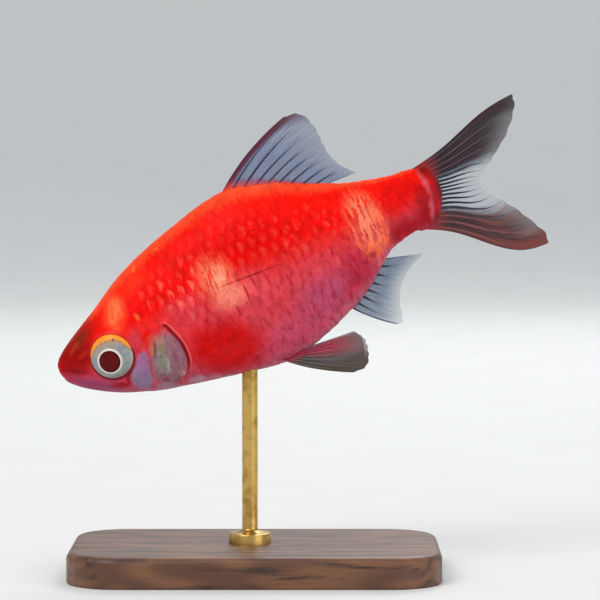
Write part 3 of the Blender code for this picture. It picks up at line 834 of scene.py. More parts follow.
# %% Skin mesh and its unwrap
def skin_unwrap(mesh, faces, rings):
    """Unwraps the skin by ring and by the way round, with its seam along the back."""
    count = rings * SKIN_SIDES
    loops = np.empty(len(mesh.loops), int)
    mesh.loops.foreach_get("vertex_index", loops)
    row, column = loops // SKIN_SIDES, loops % SKIN_SIDES
    owner = np.repeat(np.arange(len(faces)), [len(face) for face in faces])
    widest = np.zeros(len(faces), int)
    np.maximum.at(widest, owner, np.where(row < rings, column, 0))
    at_seam = (widest[owner] == SKIN_SIDES - 1) & (column == 0)
    column = np.where(at_seam, SKIN_SIDES, column)
    u_share = np.where(loops == count, 0, np.where(loops == count + 1, 1, row / rings))
    v_share = np.where(loops >= count, 0.5, column / SKIN_SIDES)
    places = np.stack([u_share, v_share], -1).astype(np.float32)
    mesh.uv_layers.new(name="OFBake").data.foreach_set("uv", places.ravel())


def skin_piece(material):
    turns = np.arange(SKIN_SIDES) * 2 / SKIN_SIDES
    u, share = np.meshgrid(RING_PLACES, turns, indexing="ij")
    plain = bare(u, share, -1)
    height, distance, facing_tail = relief(plain)
    points = seat_eyes(plain + way_out(u, share, -1) * height[..., None]).reshape(-1, 3)
    ends = [points[:SKIN_SIDES].mean(0), points[-SKIN_SIDES:].mean(0)]
    points = np.concatenate([points, ends])
    body = np.concatenate([plain.reshape(-1, 3), ends])
    rings = len(RING_PLACES)
    faces = ring_faces(rings, SKIN_SIDES)
    snout_tip = rings * SKIN_SIDES
    last = snout_tip - SKIN_SIDES
    faces += [(snout_tip, (k + 1) % SKIN_SIDES, k) for k in range(SKIN_SIDES)]
    faces += [(snout_tip + 1, last + k, last + (k + 1) % SKIN_SIDES) for k in range(SKIN_SIDES)]
    values = {
        "body": body,
        "height": height_share(body[:, 0], body[:, 2]),
        "cover": np.concatenate([distance.ravel(), [FAR_FROM_COVER] * 2]),
        "cover_rear": np.concatenate([facing_tail.ravel(), [0, 0]]),
    }
    piece = dressed("skin", points, faces, material, values, sharp=75)
    skin_unwrap(piece.data, faces, rings)
    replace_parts(piece, "head", "lower_jaw", "gill_cover_left", "gill_cover_right", "torso", "tail")
    return piece


print("skin faces between rings:", (len(RING_PLACES) - 1) * SKIN_SIDES)

# %% [markdown]
# ## Markings
# The fish is bright red on the back, rosy on the flank and mauve below, with a salmon patch at
# mid body, a streaked light band before the tail, a lilac cheek, a grey-green gill cover and a dark
# sheath over the tail fin's root. Skin and scales carry the same markings. An image would do it,
# but it would tie the colours to one view, so soft oval patches are laid on the fish by place, with
# their edges broken up by noise.

# %% Soft patches and fine mottle
soft_patch, board, given, output = effect(
    "Soft Patch",
    {"Place": "v", "Centre": "v", "Reach": "v", "Tilt": "f", "Softness": "f", "Strength": "f"},
    {"Mask": "f"},
)
offset = board.vector("SUBTRACT", given["Place"], given["Centre"])
tilting = {"Vector": offset, "Angle": given["Tilt"]}
turned = board.lay("ShaderNodeVectorRotate", tilting, rotation_type="Y_AXIS")
away = board.vector("LENGTH", board.vector("DIVIDE", turned, given["Reach"]), output="Value")
inside = board.between(away, 1.0, 1.0 - given["Softness"])
deliver(board, output, {"Mask": inside * given["Strength"]})
ANY_WIDTH = 1000


def oval(board, place, centre, reach, softness, strength, tilt=0.0):
    """A soft patch: centre and reach as u and v, tilt in degrees."""
    wires = {
        "Place": place,
        "Centre": (centre[0], 0, centre[1]),
        "Reach": (reach[0], ANY_WIDTH, reach[1]),
        "Tilt": radians(tilt),
        "Softness": softness,
        "Strength": strength,
    }
    return board.group(soft_patch, wires)["Mask"]


fine_mottle, board, given, output = effect(
    "Fine Mottle", {"Place": "v", "Size": "f", "Contrast": "f"}, {"Mask": "f", "Height": "f"}
)
grain = 1.0 / given["Size"]
coarse = board.noise(given["Place"], grain, detail=4.0, rough=0.6)
fine = board.noise(given["Place"], grain * 5.0, detail=2.0)
spread = (coarse - 0.5) * given["Contrast"]
deliver(board, output, {"Mask": spread, "Height": coarse + fine})
print("groups:", soft_patch.name, "and", fine_mottle.name)

# %% Patches of the body
# Each patch: u, v, reach along and across the body, tilt in degrees, softness, strength, colour.
FLANK_PATCHES = [
    ("rosy flank", 0.58, -0.070, 0.30, 0.105, 0, 0.9, 0.70, "DC4650"),
    ("mauve rear", 0.66, -0.110, 0.13, 0.075, 18, 0.9, 0.80, "B04A6E"),
    ("mauve belly", 0.56, -0.160, 0.13, 0.060, 0, 0.9, 0.75, "D04C6C"),
    ("crimson rear", 0.760, -0.085, 0.060, 0.070, 20, 0.8, 0.65, "B41434"),
    ("shoulder net", 0.345, 0.000, 0.08, 0.050, 0, 0.8, 0.55, "DC4450"),
    ("red breast", 0.395, -0.125, 0.130, 0.088, -20, 0.6, 0.97, "D80806"),
    ("red shoulder", 0.50, 0.095, 0.25, 0.085, -4, 0.9, 0.85, "E80000"),
    ("red before the anal fin", 0.735, -0.120, 0.060, 0.030, 30, 0.9, 0.60, "C41430"),
    ("nape glow", 0.255, 0.110, 0.060, 0.034, 22, 0.9, 0.40, "FF4622"),
    ("back rim", 0.66, 0.190, 0.18, 0.020, -15, 0.9, 0.75, "FF6440"),
    ("red tail stalk", 0.905, 0.030, 0.070, 0.060, 0, 0.7, 0.90, "EA0A06"),
    ("crimson tail stalk", 0.905, -0.052, 0.090, 0.050, 0, 0.8, 0.95, "A80C1E"),
    ("dark tail end", 0.975, -0.030, 0.055, 0.100, 0, 0.8, 0.90, "A40608"),
    ("rosy side of the patch", 0.505, -0.010, 0.075, 0.058, 0, 0.9, 0.80, "EE5058"),
    ("dark forehead", 0.098, 0.050, 0.065, 0.044, 28, 0.9, 0.90, "AC0E06"),
    ("gold fleck one", 0.337, 0.155, 0.008, 0.008, 0, 0.95, 0.45, "FF8C38"),
    ("gold fleck two", 0.231, 0.028, 0.010, 0.011, 0, 0.95, 0.60, "FF8848"),
    ("gold fleck three", 0.271, 0.134, 0.008, 0.008, 0, 0.95, 0.45, "FF8C38"),
]
SALMON_PATCHES = [
    ("orange glow", 0.184, 0.060, 0.038, 0.066, -24, 0.85, 0.80, "FF6034"),
    ("salmon heart", 0.457, -0.014, 0.062, 0.050, 0, 0.95, 1.00, "FF8A76"),
    ("tail arc top", 0.991, 0.038, 0.0125, 0.052, 3, 0.9, 0.70, "E86A72"),
    ("tail arc foot", 0.980, -0.030, 0.0125, 0.048, -17, 0.9, 0.75, "D85C6C"),
]
STREAKED_PATCHES = [
    ("orange glow core", 0.184, 0.060, 0.022, 0.050, -24, 0.8, 0.70, "FF8048"),
    ("salmon fan", 0.436, 0.044, 0.064, 0.070, -20, 0.9, 0.95, "FF7E58"),
    ("salmon fan heart", 0.446, 0.030, 0.040, 0.044, -20, 0.9, 0.95, "FFA080"),
    ("light band", 0.818, 0.000, 0.060, 0.112, 0, 0.45, 1.00, "FF6C4A"),
    ("light band core", 0.818, 0.010, 0.040, 0.080, 0, 0.8, 0.80, "FF9070"),
]
LINE_PATCHES = [
    ("dark spot behind", 0.800, -0.070, 0.014, 0.014, 0, 0.9, 0.75, "8C0818"),
    ("dark spot below", 0.777, -0.078, 0.014, 0.012, 0, 0.9, 0.65, "8C0818"),
    ("lateral line", 0.515, 0.0085, 0.112, 0.0044, -4.0, 0.8, 0.80, "A00C1E"),
    ("first dark seam", 0.4945, -0.024, 0.0048, 0.036, 0, 0.8, 0.80, "A00C20"),
    ("second dark seam", 0.520, -0.010, 0.0046, 0.030, 2, 0.8, 0.70, "A00C20"),
    ("third dark seam", 0.597, -0.045, 0.0046, 0.032, 2, 0.8, 0.55, "A00C20"),
    ("maroon sheath", 1.006, 0.066, 0.034, 0.044, 20, 0.9, 0.90, "70100F"),
    ("red sheath", 1.024, 0.000, 0.034, 0.090, 0, 0.9, 1.00, "701522"),
    ("brown sheath", 0.992, -0.070, 0.034, 0.034, -20, 0.8, 0.95, "5A161A"),
]
shared = FLANK_PATCHES + SALMON_PATCHES + STREAKED_PATCHES + LINE_PATCHES
print("markings:", len(shared), "patches on body and scales")


# %% Markings of the barb
def wandered(board, place, scale, amount):
    """The place moved about by noise, so that what is laid by it gets uneven edges."""
    noise = board.noise(place, scale, rough=0.5, output="Color")
    drift = board.vector("SUBTRACT", noise, (0.5, 0.5, 0.5))
    return board.vector("ADD", place, board.vector("MULTIPLY", drift, amount))


def lay_patches(board, place, colour, patches, share=None):
    """Lays a list of patches over a colour, only in part where a share is given."""
    for word, u, v, along, across, tilt, softness, strength, code in patches:
        mask = oval(board, place, (u, v), (along, across), softness, strength, tilt)
        mask.socket.node.label = word
        if share:
            mask = mask * share
        colour = board.blend(mask, colour, paint(code))
    return colour


# Colours from the belly, 0, to the back, 1.
BODY_COLOURS = [
    (0.00, "C0687C"),
    (0.07, "C84E64"),
    (0.22, "D2404E"),
    (0.42, "DE343C"),
    (0.54, "EC2624"),
    (0.64, "F80C06"),
    (0.90, "FF1002"),
    (0.985, "FF4A24"),
]
barb_markings, board, given, output = effect(
    "Barb Markings", {"Place": "v", "Height": "f"}, {"Colour": "c", "Scale Show": "f"}
)
place = wandered(board, given["Place"], 26.0, (0.024, 0.0, 0.036))
streaky = board.noise(given["Place"], (130.0, 30.0, 26.0), detail=2.0)
colour = board.ramp(given["Height"] + (streaky - 0.5) * 0.10, BODY_COLOURS)
colour = lay_patches(board, place, colour, FLANK_PATCHES)
strokes = board.between(streaky, 0.53, 0.68) * board.between(given["Height"], 0.80, 0.62)
colour = board.blend(strokes * 0.40, colour, paint("A8061A"))
colour = lay_patches(board, place, colour, SALMON_PATCHES)
light = 0.12 + board.between(streaky, 0.40, 0.52) * 0.88
colour = lay_patches(board, place, colour, STREAKED_PATCHES, light)
colour = lay_patches(board, given["Place"], colour, LINE_PATCHES)
mottle = board.group(fine_mottle, {"Place": given["Place"], "Size": 0.026, "Contrast": 0.70})
colour = board.shaded(colour, 1.0 + mottle["Mask"])
showing = board.between(given["Height"], 0.97, 0.66)
breast = oval(board, given["Place"], (0.40, -0.135), (0.15, 0.090), 0.7, 0.95)
showing = showing * (1.0 - breast)
along = board.split(given["Place"])[0]
showing = showing * board.between(along, 0.93, 0.80)
deliver(board, output, {"Colour": colour, "Scale Show": showing})
print("markings group:", len(barb_markings.nodes), "nodes")

# %% [markdown]
# ## Skin finish
# Wet fish skin is soft colour under a thin glossy film. Light that scatters under the skin would
# soften it more, but it can't be baked into a plain colour, so the shader keeps a middling
# roughness and a faint coat. The face patches and the gill cover's bands belong to the head alone
# and are laid here, over the shared markings. Fine pores come from the mottle's height.

# %% Patches of the face and the gill cover
FACE_PATCHES = [
    ("dark snout", 0.046, 0.006, 0.098, 0.074, -20, 0.75, 0.95, "920806"),
    ("olive brow", 0.082, 0.038, 0.042, 0.028, 28, 0.9, 0.62, "6A2C10"),
    ("rust streak", 0.058, 0.022, 0.032, 0.010, 30, 0.9, 0.45, "C84020"),
    ("rust fleck", 0.074, 0.000, 0.024, 0.009, 10, 0.9, 0.40, "C83424"),
    ("mauve jaw", 0.070, -0.088, 0.105, 0.040, -33, 0.75, 0.92, "A0406A"),
    ("rosy chin", 0.024, -0.040, 0.026, 0.018, -40, 0.9, 0.50, "A83050"),
    # Painted shadow along the mouth's slit
    ("painted mouth shadow", 0.040, -0.0300, 0.046, 0.0100, -28, 0.9, 0.75, "7C0814"),
    ("red under the eye", 0.156, -0.092, 0.013, 0.036, -30, 0.8, 0.95, "9E0814"),
    ("red below the eye", 0.128, -0.104, 0.034, 0.012, -26, 0.8, 0.80, "A60C1C"),
    ("rosy cheek", 0.202, -0.0135, 0.024, 0.038, -26, 0.95, 0.65, "C84452"),
    ("bright cheek", 0.234, -0.024, 0.0165, 0.026, -24, 0.7, 0.95, "EA0804"),
    ("plate foot", 0.1825, -0.1070, 0.0330, 0.040, -24, 0.40, 0.95, "94809E"),
    ("plate top", 0.1955, -0.0820, 0.0220, 0.040, -26, 0.35, 0.82, "9A6E98"),
    ("plate shade", 0.190, -0.0440, 0.022, 0.006, -14, 0.9, 0.60, "8C1C34"),
    ("red gap", 0.2100, -0.1000, 0.0060, 0.046, -18, 0.8, 0.90, "B42C50"),
    ("pale throat", 0.222, -0.1600, 0.060, 0.010, -17, 0.7, 0.75, "B892A2"),
    ("pale strap", 0.3000, -0.1690, 0.030, 0.013, -12, 0.7, 0.85, "C494A8"),
    ("belly strip", 0.3700, -0.1900, 0.080, 0.010, -13, 0.8, 0.75, "BC8498"),
]
COVER_PATCHES = [
    ("cover ground", 0.2580, -0.0940, 0.052, 0.076, -22, 0.35, 0.97, "8A606E"),
    ("tan brow", 0.2440, -0.0360, 0.022, 0.020, -24, 0.9, 0.60, "B8604C"),
    ("peach top", 0.2587, -0.0440, 0.020, 0.022, -24, 0.9, 0.80, "B27466"),
    ("mauve rear", 0.2810, -0.0880, 0.022, 0.052, -14, 0.85, 0.80, "94566C"),
    ("grey green", 0.2430, -0.0920, 0.0220, 0.050, -24, 0.7, 0.85, "80887A"),
    # A painted highlight on the gill cover, in silver
    ("painted silver highlight", 0.2499, -0.1060, 0.0070, 0.026, -24, 0.9, 0.85, "A4ACAC"),
    ("olive middle", 0.2500, -0.0640, 0.0180, 0.020, -24, 0.9, 0.75, "8E7A54"),
    ("tan strip", 0.2300, -0.0560, 0.0085, 0.024, -22, 0.8, 0.75, "BE7850"),
    ("brown line", 0.2375, -0.0600, 0.0040, 0.030, -24, 0.8, 0.85, "5E3418"),
    ("wine foot", 0.2290, -0.1340, 0.0130, 0.017, -10, 0.7, 0.85, "883C5C"),
    ("lilac foot", 0.2250, -0.1500, 0.0330, 0.012, -20, 0.8, 0.80, "A88CA4"),
    # A painted highlight, peach, low on the gill cover's rear
    ("painted peach highlight", 0.2760, -0.1370, 0.0120, 0.010, -10, 0.9, 0.75, "E0A49A"),
]
print("head:", len(FACE_PATCHES + COVER_PATCHES), "patches")


# %% Skin material
def skin_finish():
    made, board, shader = finish("red_skin", coat=0.03, coat_roughness=0.25, specular=0.05)
    place = board.stored("body", "Vector")
    height = board.stored("height")
    gap = board.stored("cover")
    rear = board.stored("cover_rear")
    colour = board.group(barb_markings, {"Place": place, "Height": height})["Colour"]
    uneven = wandered(board, place, 80.0, (0.009, 0.0, 0.013))
    colour = lay_patches(board, uneven, colour, FACE_PATCHES)
    outside = rear * board.between(gap, -0.002, 0.002)
    colour = lay_patches(board, uneven, colour, COVER_PATCHES, 1.0 - outside)
    # Pale and dark flecks inside the gill cover's rim
    flecks = board.between(board.noise(place, (190.0, 70.0, 70.0), detail=4.0), 0.35, 0.65)
    on_cover = board.between(gap, 0.0, -0.012) * 0.30
    colour = board.blend(on_cover * flecks, colour, paint("C09C98"))
    specks = board.between(board.noise(place, (110.0, 60.0, 60.0), detail=3.0), 0.54, 0.66)
    colour = board.blend(specks * (on_cover * 1.5), colour, paint("5C4038"))
    # Painted shade in the groove and a painted highlight on the ridge behind the rim
    level = board.split(place)[2]
    rim = rear * board.between(level, -0.150, -0.110)
    groove = board.between(abs(gap - 0.0008), 0.0050, 0.0014) * rim
    colour = board.blend(groove * 0.80, colour, paint("6A0614"))
    ridge = board.between(abs(gap - 0.0076), 0.0030, 0.0004) * rim
    colour = board.blend(ridge * 0.80, colour, paint("F46A6A"))
    mottle = board.group(fine_mottle, {"Place": place, "Size": 0.012, "Contrast": 0.60})
    colour = board.shaded(colour, 1.0 + mottle["Mask"])
    connect(board, shader, Base_Color=colour, Roughness=0.42 + mottle["Mask"] * 0.6)
    raised(board, shader, mottle["Height"], 0.00004, 0.6)
    return made


skin = skin_piece(skin_finish())
print("skin:", len(skin.data.polygons), "faces")

# %% [markdown]
# ## Scales
# A tiger barb has about 23 scales along its side, in rows that keep to the body's length and
# narrow towards the tail, each row half a scale behind its neighbours. Each scale is a thin closed
# shell, sunk at its front under the scale before it and free at its round rear edge. Instances
# would be lighter, but shells laid by a loop can bend with the body and keep their own marks.

# %% Rows and columns of scales
COLUMN_PITCH = 0.0275
ROW_PITCH = 0.0345
SCALE_SHRINK = 0.38
COLUMN_SHRINK = 0.8
SCALE_ROWS = range(-9, 12)
FIRST_SCALE = 0.20
LAST_SCALE = 0.970
FRONT_LIMIT = Smooth(
    (-0.25, -0.18, -0.155, -0.12, -0.08, -0.04, -0.005, 0.03, 0.08, 0.14, 0.25),
    (0.345, 0.318, 0.315, 0.322, 0.325, 0.316, 0.295, 0.240, 0.215, 0.222, 0.240),
)


def narrowing(u):
    """How far scales shrink with the body's girth, 1 where the body is deepest."""
    return (half_girth(u) / half_girth(0.5)) ** SCALE_SHRINK


column_places = [FIRST_SCALE]
while column_places[-1] < LAST_SCALE:
    shrink = float(narrowing(column_places[-1])) ** COLUMN_SHRINK
    column_places.append(column_places[-1] + COLUMN_PITCH * shrink)
column_places = np.array(column_places)


def scale_roots():
    """Root place and row number of every scale of one side."""
    roots = []
    for row in SCALE_ROWS:
        for column in range(len(column_places) - 1):
            index = column + (0.5 if row % 2 else 0.0)
            u = float(np.interp(index, range(len(column_places)), column_places))
            pitch = ROW_PITCH * float(narrowing(u))
            depth = float(line_depth(u)) + row * pitch
            if not 0.3 * pitch < depth < float(half_girth(u)) - 0.25 * pitch:
                continue
            v = float(bare(u, depth / half_girth(u), -1)[..., 2])
            if u > float(FRONT_LIMIT(v)):
                roots.append((u, row))
    return np.array(roots)


print("scales on each side:", len(scale_roots()))


# %% Faces of a closed sheet
def sheet_faces(rows, columns):
    """Faces of a closed sheet: a front grid, the same grid behind it turned round, and a rim."""
    count = rows * columns
    grid = np.arange(count).reshape(rows, columns)
    quads = [grid[:-1, :-1], grid[:-1, 1:], grid[1:, 1:], grid[1:, :-1]]
    front = np.stack([q.ravel() for q in quads], -1)
    back = front[:, ::-1] + count
    loop = np.concatenate([grid[0], grid[1:, -1], grid[-1, -2::-1], grid[-2:0:-1, 0]])
    ahead = np.roll(loop, -1)
    rim = np.stack([ahead, loop, loop + count, ahead + count], -1)
    return np.concatenate([front, back, rim])


print("a sheet of 3 by 3 points:", len(sheet_faces(3, 3)), "faces")

# %% Scale shells
SCALE_HALF_WIDTH = 0.86
SCALE_LENGTH = 2.05
SCALE_SINK = -0.0012
SCALE_LIFT = 0.0010
SCALE_THICKNESS = 0.0005
SCALE_ARCH = 0.0006
SCALE_LEAN = 0.00018
SCALE_EDGE_DROP = 0.0003
SCALE_GRID = (10, 13)
UNWRAP_WIDTH = 0.0035
rng = np.random.default_rng(23)


def scale_shells(side, name, material):
    roots = scale_roots()
    count = len(roots)
    long, wide = SCALE_GRID
    # x runs from a scale's root to its free edge, y across it
    x = (1 - (1 - np.linspace(0, 1, long)) ** 1.3)[None, :, None]
    y = np.linspace(-1, 1, wide)[None, None, :]
    size = rng.uniform(0.96, 1.04, count)[:, None, None]
    lean = rng.normal(0, SCALE_LEAN, count)[:, None, None]
    tone = rng.uniform(0, 1, count)
    root_u = roots[:, 0][:, None, None]
    row = roots[:, 1][:, None, None]
    column = COLUMN_PITCH * narrowing(root_u) ** COLUMN_SHRINK * size
    rear = 1 - 0.44 * np.abs(y) ** 2.1
    front = 0.80 + 0.20 * smooth_step(0, 0.5, x)
    u = np.broadcast_to(root_u + x * rear * column * SCALE_LENGTH, (count, long, wide))
    pitch = ROW_PITCH * narrowing(u)
    depth = line_depth(u) + (row + y * SCALE_HALF_WIDTH * front * size) * pitch
    # Scales lie flatter on the breast, the back and the tail's stalk
    breast = swell(root_u, 0.35, 0.08) * smooth_step(0.03, 0.09, depth - line_depth(u))
    back = smooth_step(0.10, 0.0, depth)
    quiet = 1 - 0.6 * np.maximum(np.maximum(breast, back), smooth_step(0.82, 0.90, root_u))
    lift = SCALE_SINK + (SCALE_LIFT * quiet - SCALE_SINK) * x
    lift = lift + SCALE_ARCH * (1 - y**2) * x + lean * y - SCALE_EDGE_DROP * (x > 0.99)
    share = depth / half_girth(u)
    plain = bare(u, share, side)
    out = way_out(u, share, side)
    top = plain + out * (relief(plain)[0] + lift)[..., None]
    under = top - out * SCALE_THICKNESS
    points = np.concatenate([top.reshape(count, -1, 3), under.reshape(count, -1, 3)], 1)
    cell = sheet_faces(long, wide)
    if side > 0:
        cell = cell[:, ::-1]
    step = 2 * long * wide
    faces = (cell[None] + (np.arange(count) * step)[:, None, None]).reshape(-1, 4)
    local = np.stack(np.broadcast_arrays(x, y, tone[:, None, None]), -1).reshape(count, -1, 3)
    local = np.concatenate([local, local], 1)
    body = np.concatenate([plain.reshape(count, -1, 3)] * 2, 1)
    values = {
        "body": body.reshape(-1, 3),
        "height": height_share(body[..., 0], body[..., 2]).ravel(),
        "scale": local.reshape(-1, 3),
    }
    points, corners = points.reshape(-1, 3), faces.tolist()
    piece = dressed(name, points, corners, material, values, sharp=50)
    # Each scale's unwrap is a small patch round the place of its root in the skin's unwrap
    root_share = (depth[:, 0, wide // 2] / half_girth(roots[:, 0]) % 2) / 2
    root_share = root_share if side < 0 else 1 - root_share
    root_ring = np.interp(roots[:, 0], RING_PLACES, np.linspace(0, 1, len(RING_PLACES)))
    centre = np.stack([root_ring, root_share], -1)[:, None, :]
    spread = local[..., :2] * (1, 0.5) + (0, 0.5) - 0.5
    places = (centre + spread * UNWRAP_WIDTH).reshape(-1, 2)[faces.ravel()].astype(np.float32)
    piece.data.uv_layers.new(name="OFBake").data.foreach_set("uv", places.ravel())
    return piece


print("one scale:", len(sheet_faces(*SCALE_GRID)), "faces")

# %% [markdown]
# ## Scale finish
# On each scale a painted sheen lightens a bar across its middle, and the colour is darker along
# its rear edge, which draws the net on the flank. Fine ribs fan out from its root. Sheen bars and
# edges come out in drifts, the bars most on the shoulder, and both fade on the back, the breast and
# the tail's stalk, where the real skin hides them. A painted net would blur close by, but marks
# worked out on each scale stay sharp at any size.

# %% Marks of one scale
scale_marks, board, given, output = effect(
    "Scale Marks", {"Scale": "v"}, {"Sheen Bar": "f", "Edge": "f", "Ribs": "f"}
)
x, y, tone = board.split(given["Scale"])
shift = (tone - 0.5) * 0.08
along = (x - (0.75 + shift)) / 0.19
across = y / 0.70
away = (along * along + across * across) ** 0.5
fan = board.math("ARCTAN2", y, x + 0.15)
ribs = board.math("SINE", fan * 34.0)
rings = board.math("SINE", x * 70.0)
# Sheen Bar: where each scale's painted sheen lies, a soft spot across its middle
marks = {
    "Sheen Bar": board.between(away, 1.0, 0.2),
    "Edge": board.between(x, 0.80, 0.99) * board.between(abs(y), 0.85, 0.30),
    "Ribs": ribs + rings * 0.5,
}
deliver(board, output, marks)
print("marks of a scale:", ", ".join(marks))


# %% Scale material and the two coats of scales
def scale_finish():
    made, board, shader = finish("red_scales", coat=0.03, coat_roughness=0.25, specular=0.05)
    place = board.stored("body", "Vector")
    height = board.stored("height")
    local = board.stored("scale", "Vector")
    base = board.group(barb_markings, {"Place": place, "Height": height})
    marks = board.group(scale_marks, {"Scale": local})
    mottle = board.group(fine_mottle, {"Place": place, "Size": 0.008, "Contrast": 0.30})
    tone = board.split(local)[2]
    low = board.between(height, 0.60, 0.30)
    drifts = board.between(board.noise(place, 30.0), 0.36, 0.62)
    patchy = board.between(board.noise(place, 62.0, detail=2.0), 0.42, 0.62)
    # Strength of the painted sheen: in drifts, most on the shoulder, weaker low on the flank
    share = (0.25 + tone * 0.75) * drifts
    shoulder = oval(board, place, (0.335, 0.025), (0.16, 0.105), 0.9, 0.80)
    shoulder = shoulder * (0.30 + tone * 0.65)
    strength = share * 0.75 + (0.08 + shoulder)
    strength = strength * (1.0 - low * 0.65) * base["Scale Show"]
    # Colour of the painted sheen: light red above, pale mauve below
    sheen_bar_tone = board.blend(low, paint("FF6250"), paint("D85A72"))
    broken = board.between(board.noise(place, (120.0, 40.0, 40.0), detail=2.0), 0.36, 0.56)
    painted_sheen_bar = marks["Sheen Bar"] * (broken * strength)
    colour = board.blend(painted_sheen_bar, base["Colour"], sheen_bar_tone)
    edge_strength = (0.45 + low * 0.25) * patchy
    edge = marks["Edge"] * (base["Scale Show"] * edge_strength)
    colour = board.blend(edge, colour, board.blend(low, paint("B40004"), paint("A81030")))
    colour = board.shaded(colour, 0.93 + tone * 0.12 + mottle["Mask"])
    connect(board, shader, Base_Color=colour, Roughness=0.46 - marks["Sheen Bar"] * 0.10)
    raised(board, shader, marks["Ribs"] + mottle["Height"], 0.000012, 0.5)
    return made


scales = scale_finish()
for word, side in SIDES_OF_FISH.items():
    coat = scale_shells(side, "scales_" + word, scales)
    print(coat.name, len(coat.data.polygons) * 2, "triangles")

# %% [markdown]
# ## Eyes
# The eye is the brightest thing on the fish: a flat silver ring with a dark round pupil set a
# little forwards and low in it, and an orange crescent over its top. The front is one smooth mesh
# whose rings slide from the pupil's centre to the eye's, so that both edges are true circles. A
# thin fold of skin laps its rim.

# %% Eyeball
EYE_SIDES = 128
PUPIL_RINGS = 26
IRIS_RINGS = 40
BACK_RINGS = 14
PUPIL_RADIUS = 0.0262
PUPIL_OFFSET = np.array([-0.0063, -0.0095])
LENS_RISE = 0.0036
PUPIL_WELT = 0.0011
DOME_FLATNESS = 2.5
EYE_EDGE_LEVEL = -0.004
EYE_BACK = 0.016


def tube_faces(rings, sides):
    """Faces of a tube of rings with both ends shut."""
    last = (rings - 1) * sides
    ends = [tuple(range(sides))[::-1], tuple(last + k for k in range(sides))]
    return ring_faces(rings, sides) + ends


def facing_out(cells, side):
    """Faces made for the fish's right side, turned over for its left."""
    return cells if side > 0 else [cell[::-1] for cell in cells]


def eye_place(side, rearward, up, level):
    """Points by the eye's own plane: back along the head, up, and out of it."""
    centre, along, rise, out = eye_seat(side)
    return centre + rearward[..., None] * along + up[..., None] * rise + level[..., None] * out


def eye_ball(side, name, material):
    pupil_rings = np.linspace(0.02, 0.5, PUPIL_RINGS)
    rings = np.concatenate([pupil_rings, np.linspace(0.5, 1, IRIS_RINGS)[1:]])
    turns = circle(EYE_SIDES)
    t, turn = np.meshgrid(rings, turns, indexing="ij")
    spread = smooth_step(0.5, 1, t)
    past_pupil = np.clip((t - 0.5) * 2, 0, 1)
    radius = PUPIL_RADIUS + (EYE_RADIUS - PUPIL_RADIUS) * past_pupil
    radius = np.where(t < 0.5, PUPIL_RADIUS * t * 2, radius)
    x = PUPIL_OFFSET[0] * (1 - spread) + radius * np.cos(turn)
    y = PUPIL_OFFSET[1] * (1 - spread) + radius * np.sin(turn)
    from_middle = np.minimum(np.hypot(x, y) / EYE_RADIUS, 1)
    round_front = np.sqrt(np.maximum(1 - from_middle**DOME_FLATNESS, 0))
    dome = EYE_EDGE_LEVEL + (EYE_PROUD - LENS_RISE - EYE_EDGE_LEVEL) * round_front
    lens = LENS_RISE * np.sqrt(np.maximum(1 - (2 * t) ** 2, 0)) * (t < 0.5)
    level = dome + lens + PUPIL_WELT * swell(t, 0.535, 0.022)
    back_angle = np.linspace(0, pi / 2, BACK_RINGS + 1)[1:-1]
    back_x = np.outer(np.cos(back_angle), np.cos(turns)) * EYE_RADIUS
    back_y = np.outer(np.cos(back_angle), np.sin(turns)) * EYE_RADIUS
    back_level = EYE_EDGE_LEVEL - EYE_BACK * np.sin(back_angle)[:, None] * np.ones(EYE_SIDES)
    x, y = np.concatenate([x, back_x]), np.concatenate([y, back_y])
    points = eye_place(side, x, y, np.concatenate([level, back_level])).reshape(-1, 3)
    cells = facing_out(tube_faces(len(x), EYE_SIDES), side)
    ring = np.concatenate([t, np.ones(back_x.shape)])
    iris = np.stack([x / EYE_RADIUS, y / EYE_RADIUS, ring], -1).reshape(-1, 3)
    piece = dressed(name, points, cells, material, {"iris": iris}, sharp=60)
    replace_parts(piece, name)
    return piece


print("eyeball:", PUPIL_RINGS + IRIS_RINGS + BACK_RINGS - 2, "rings of", EYE_SIDES, "points")

# %% Fold of skin round the eye
# The fold's section: radius past the eye's rim, and level.
FOLD_SECTION = [
    (-0.0050, -0.0130),
    (-0.0022, -0.0040),
    (-0.0010, -0.0018),
    (0.0008, -0.0006),
    (0.0030, -0.0012),
    (0.0055, -0.0036),
    (0.0080, -0.0066),
    (0.0115, -0.0130),
]


def eye_fold(side, name, material):
    """A closed ring of skin round the eye."""
    past, level = np.array(FOLD_SECTION).T[:, :, None]
    turns = circle(EYE_SIDES)
    x, y = (EYE_RADIUS + past) * np.cos(turns), (EYE_RADIUS + past) * np.sin(turns)
    points = eye_place(side, x, y, level + 0 * x).reshape(-1, 3)
    rows = len(FOLD_SECTION)
    cells = ring_faces(rows, EYE_SIDES)
    last = (rows - 1) * EYE_SIDES
    for k in range(EYE_SIDES):
        after = (k + 1) % EYE_SIDES
        cells.append((last + k, last + after, after, k))
    values = {
        "body": points,
        "height": height_share(points[:, 0], points[:, 2]),
        "fold": np.repeat(np.linspace(0, 1, rows), EYE_SIDES),
    }
    return dressed(name, points, facing_out(cells, side), material, values, sharp=180)


print("fold:", len(FOLD_SECTION), "rings")

# %% [markdown]
# ## Eye finish
# The iris is grey silver with fine spokes, pale round the pupil and at the rim. A clear shell over
# it would look wetter, but a glossy coat does nearly the same and bakes well. The orange crescent
# is what a large soft oval, set low, leaves free at the top, and noise makes its dark seam ragged.

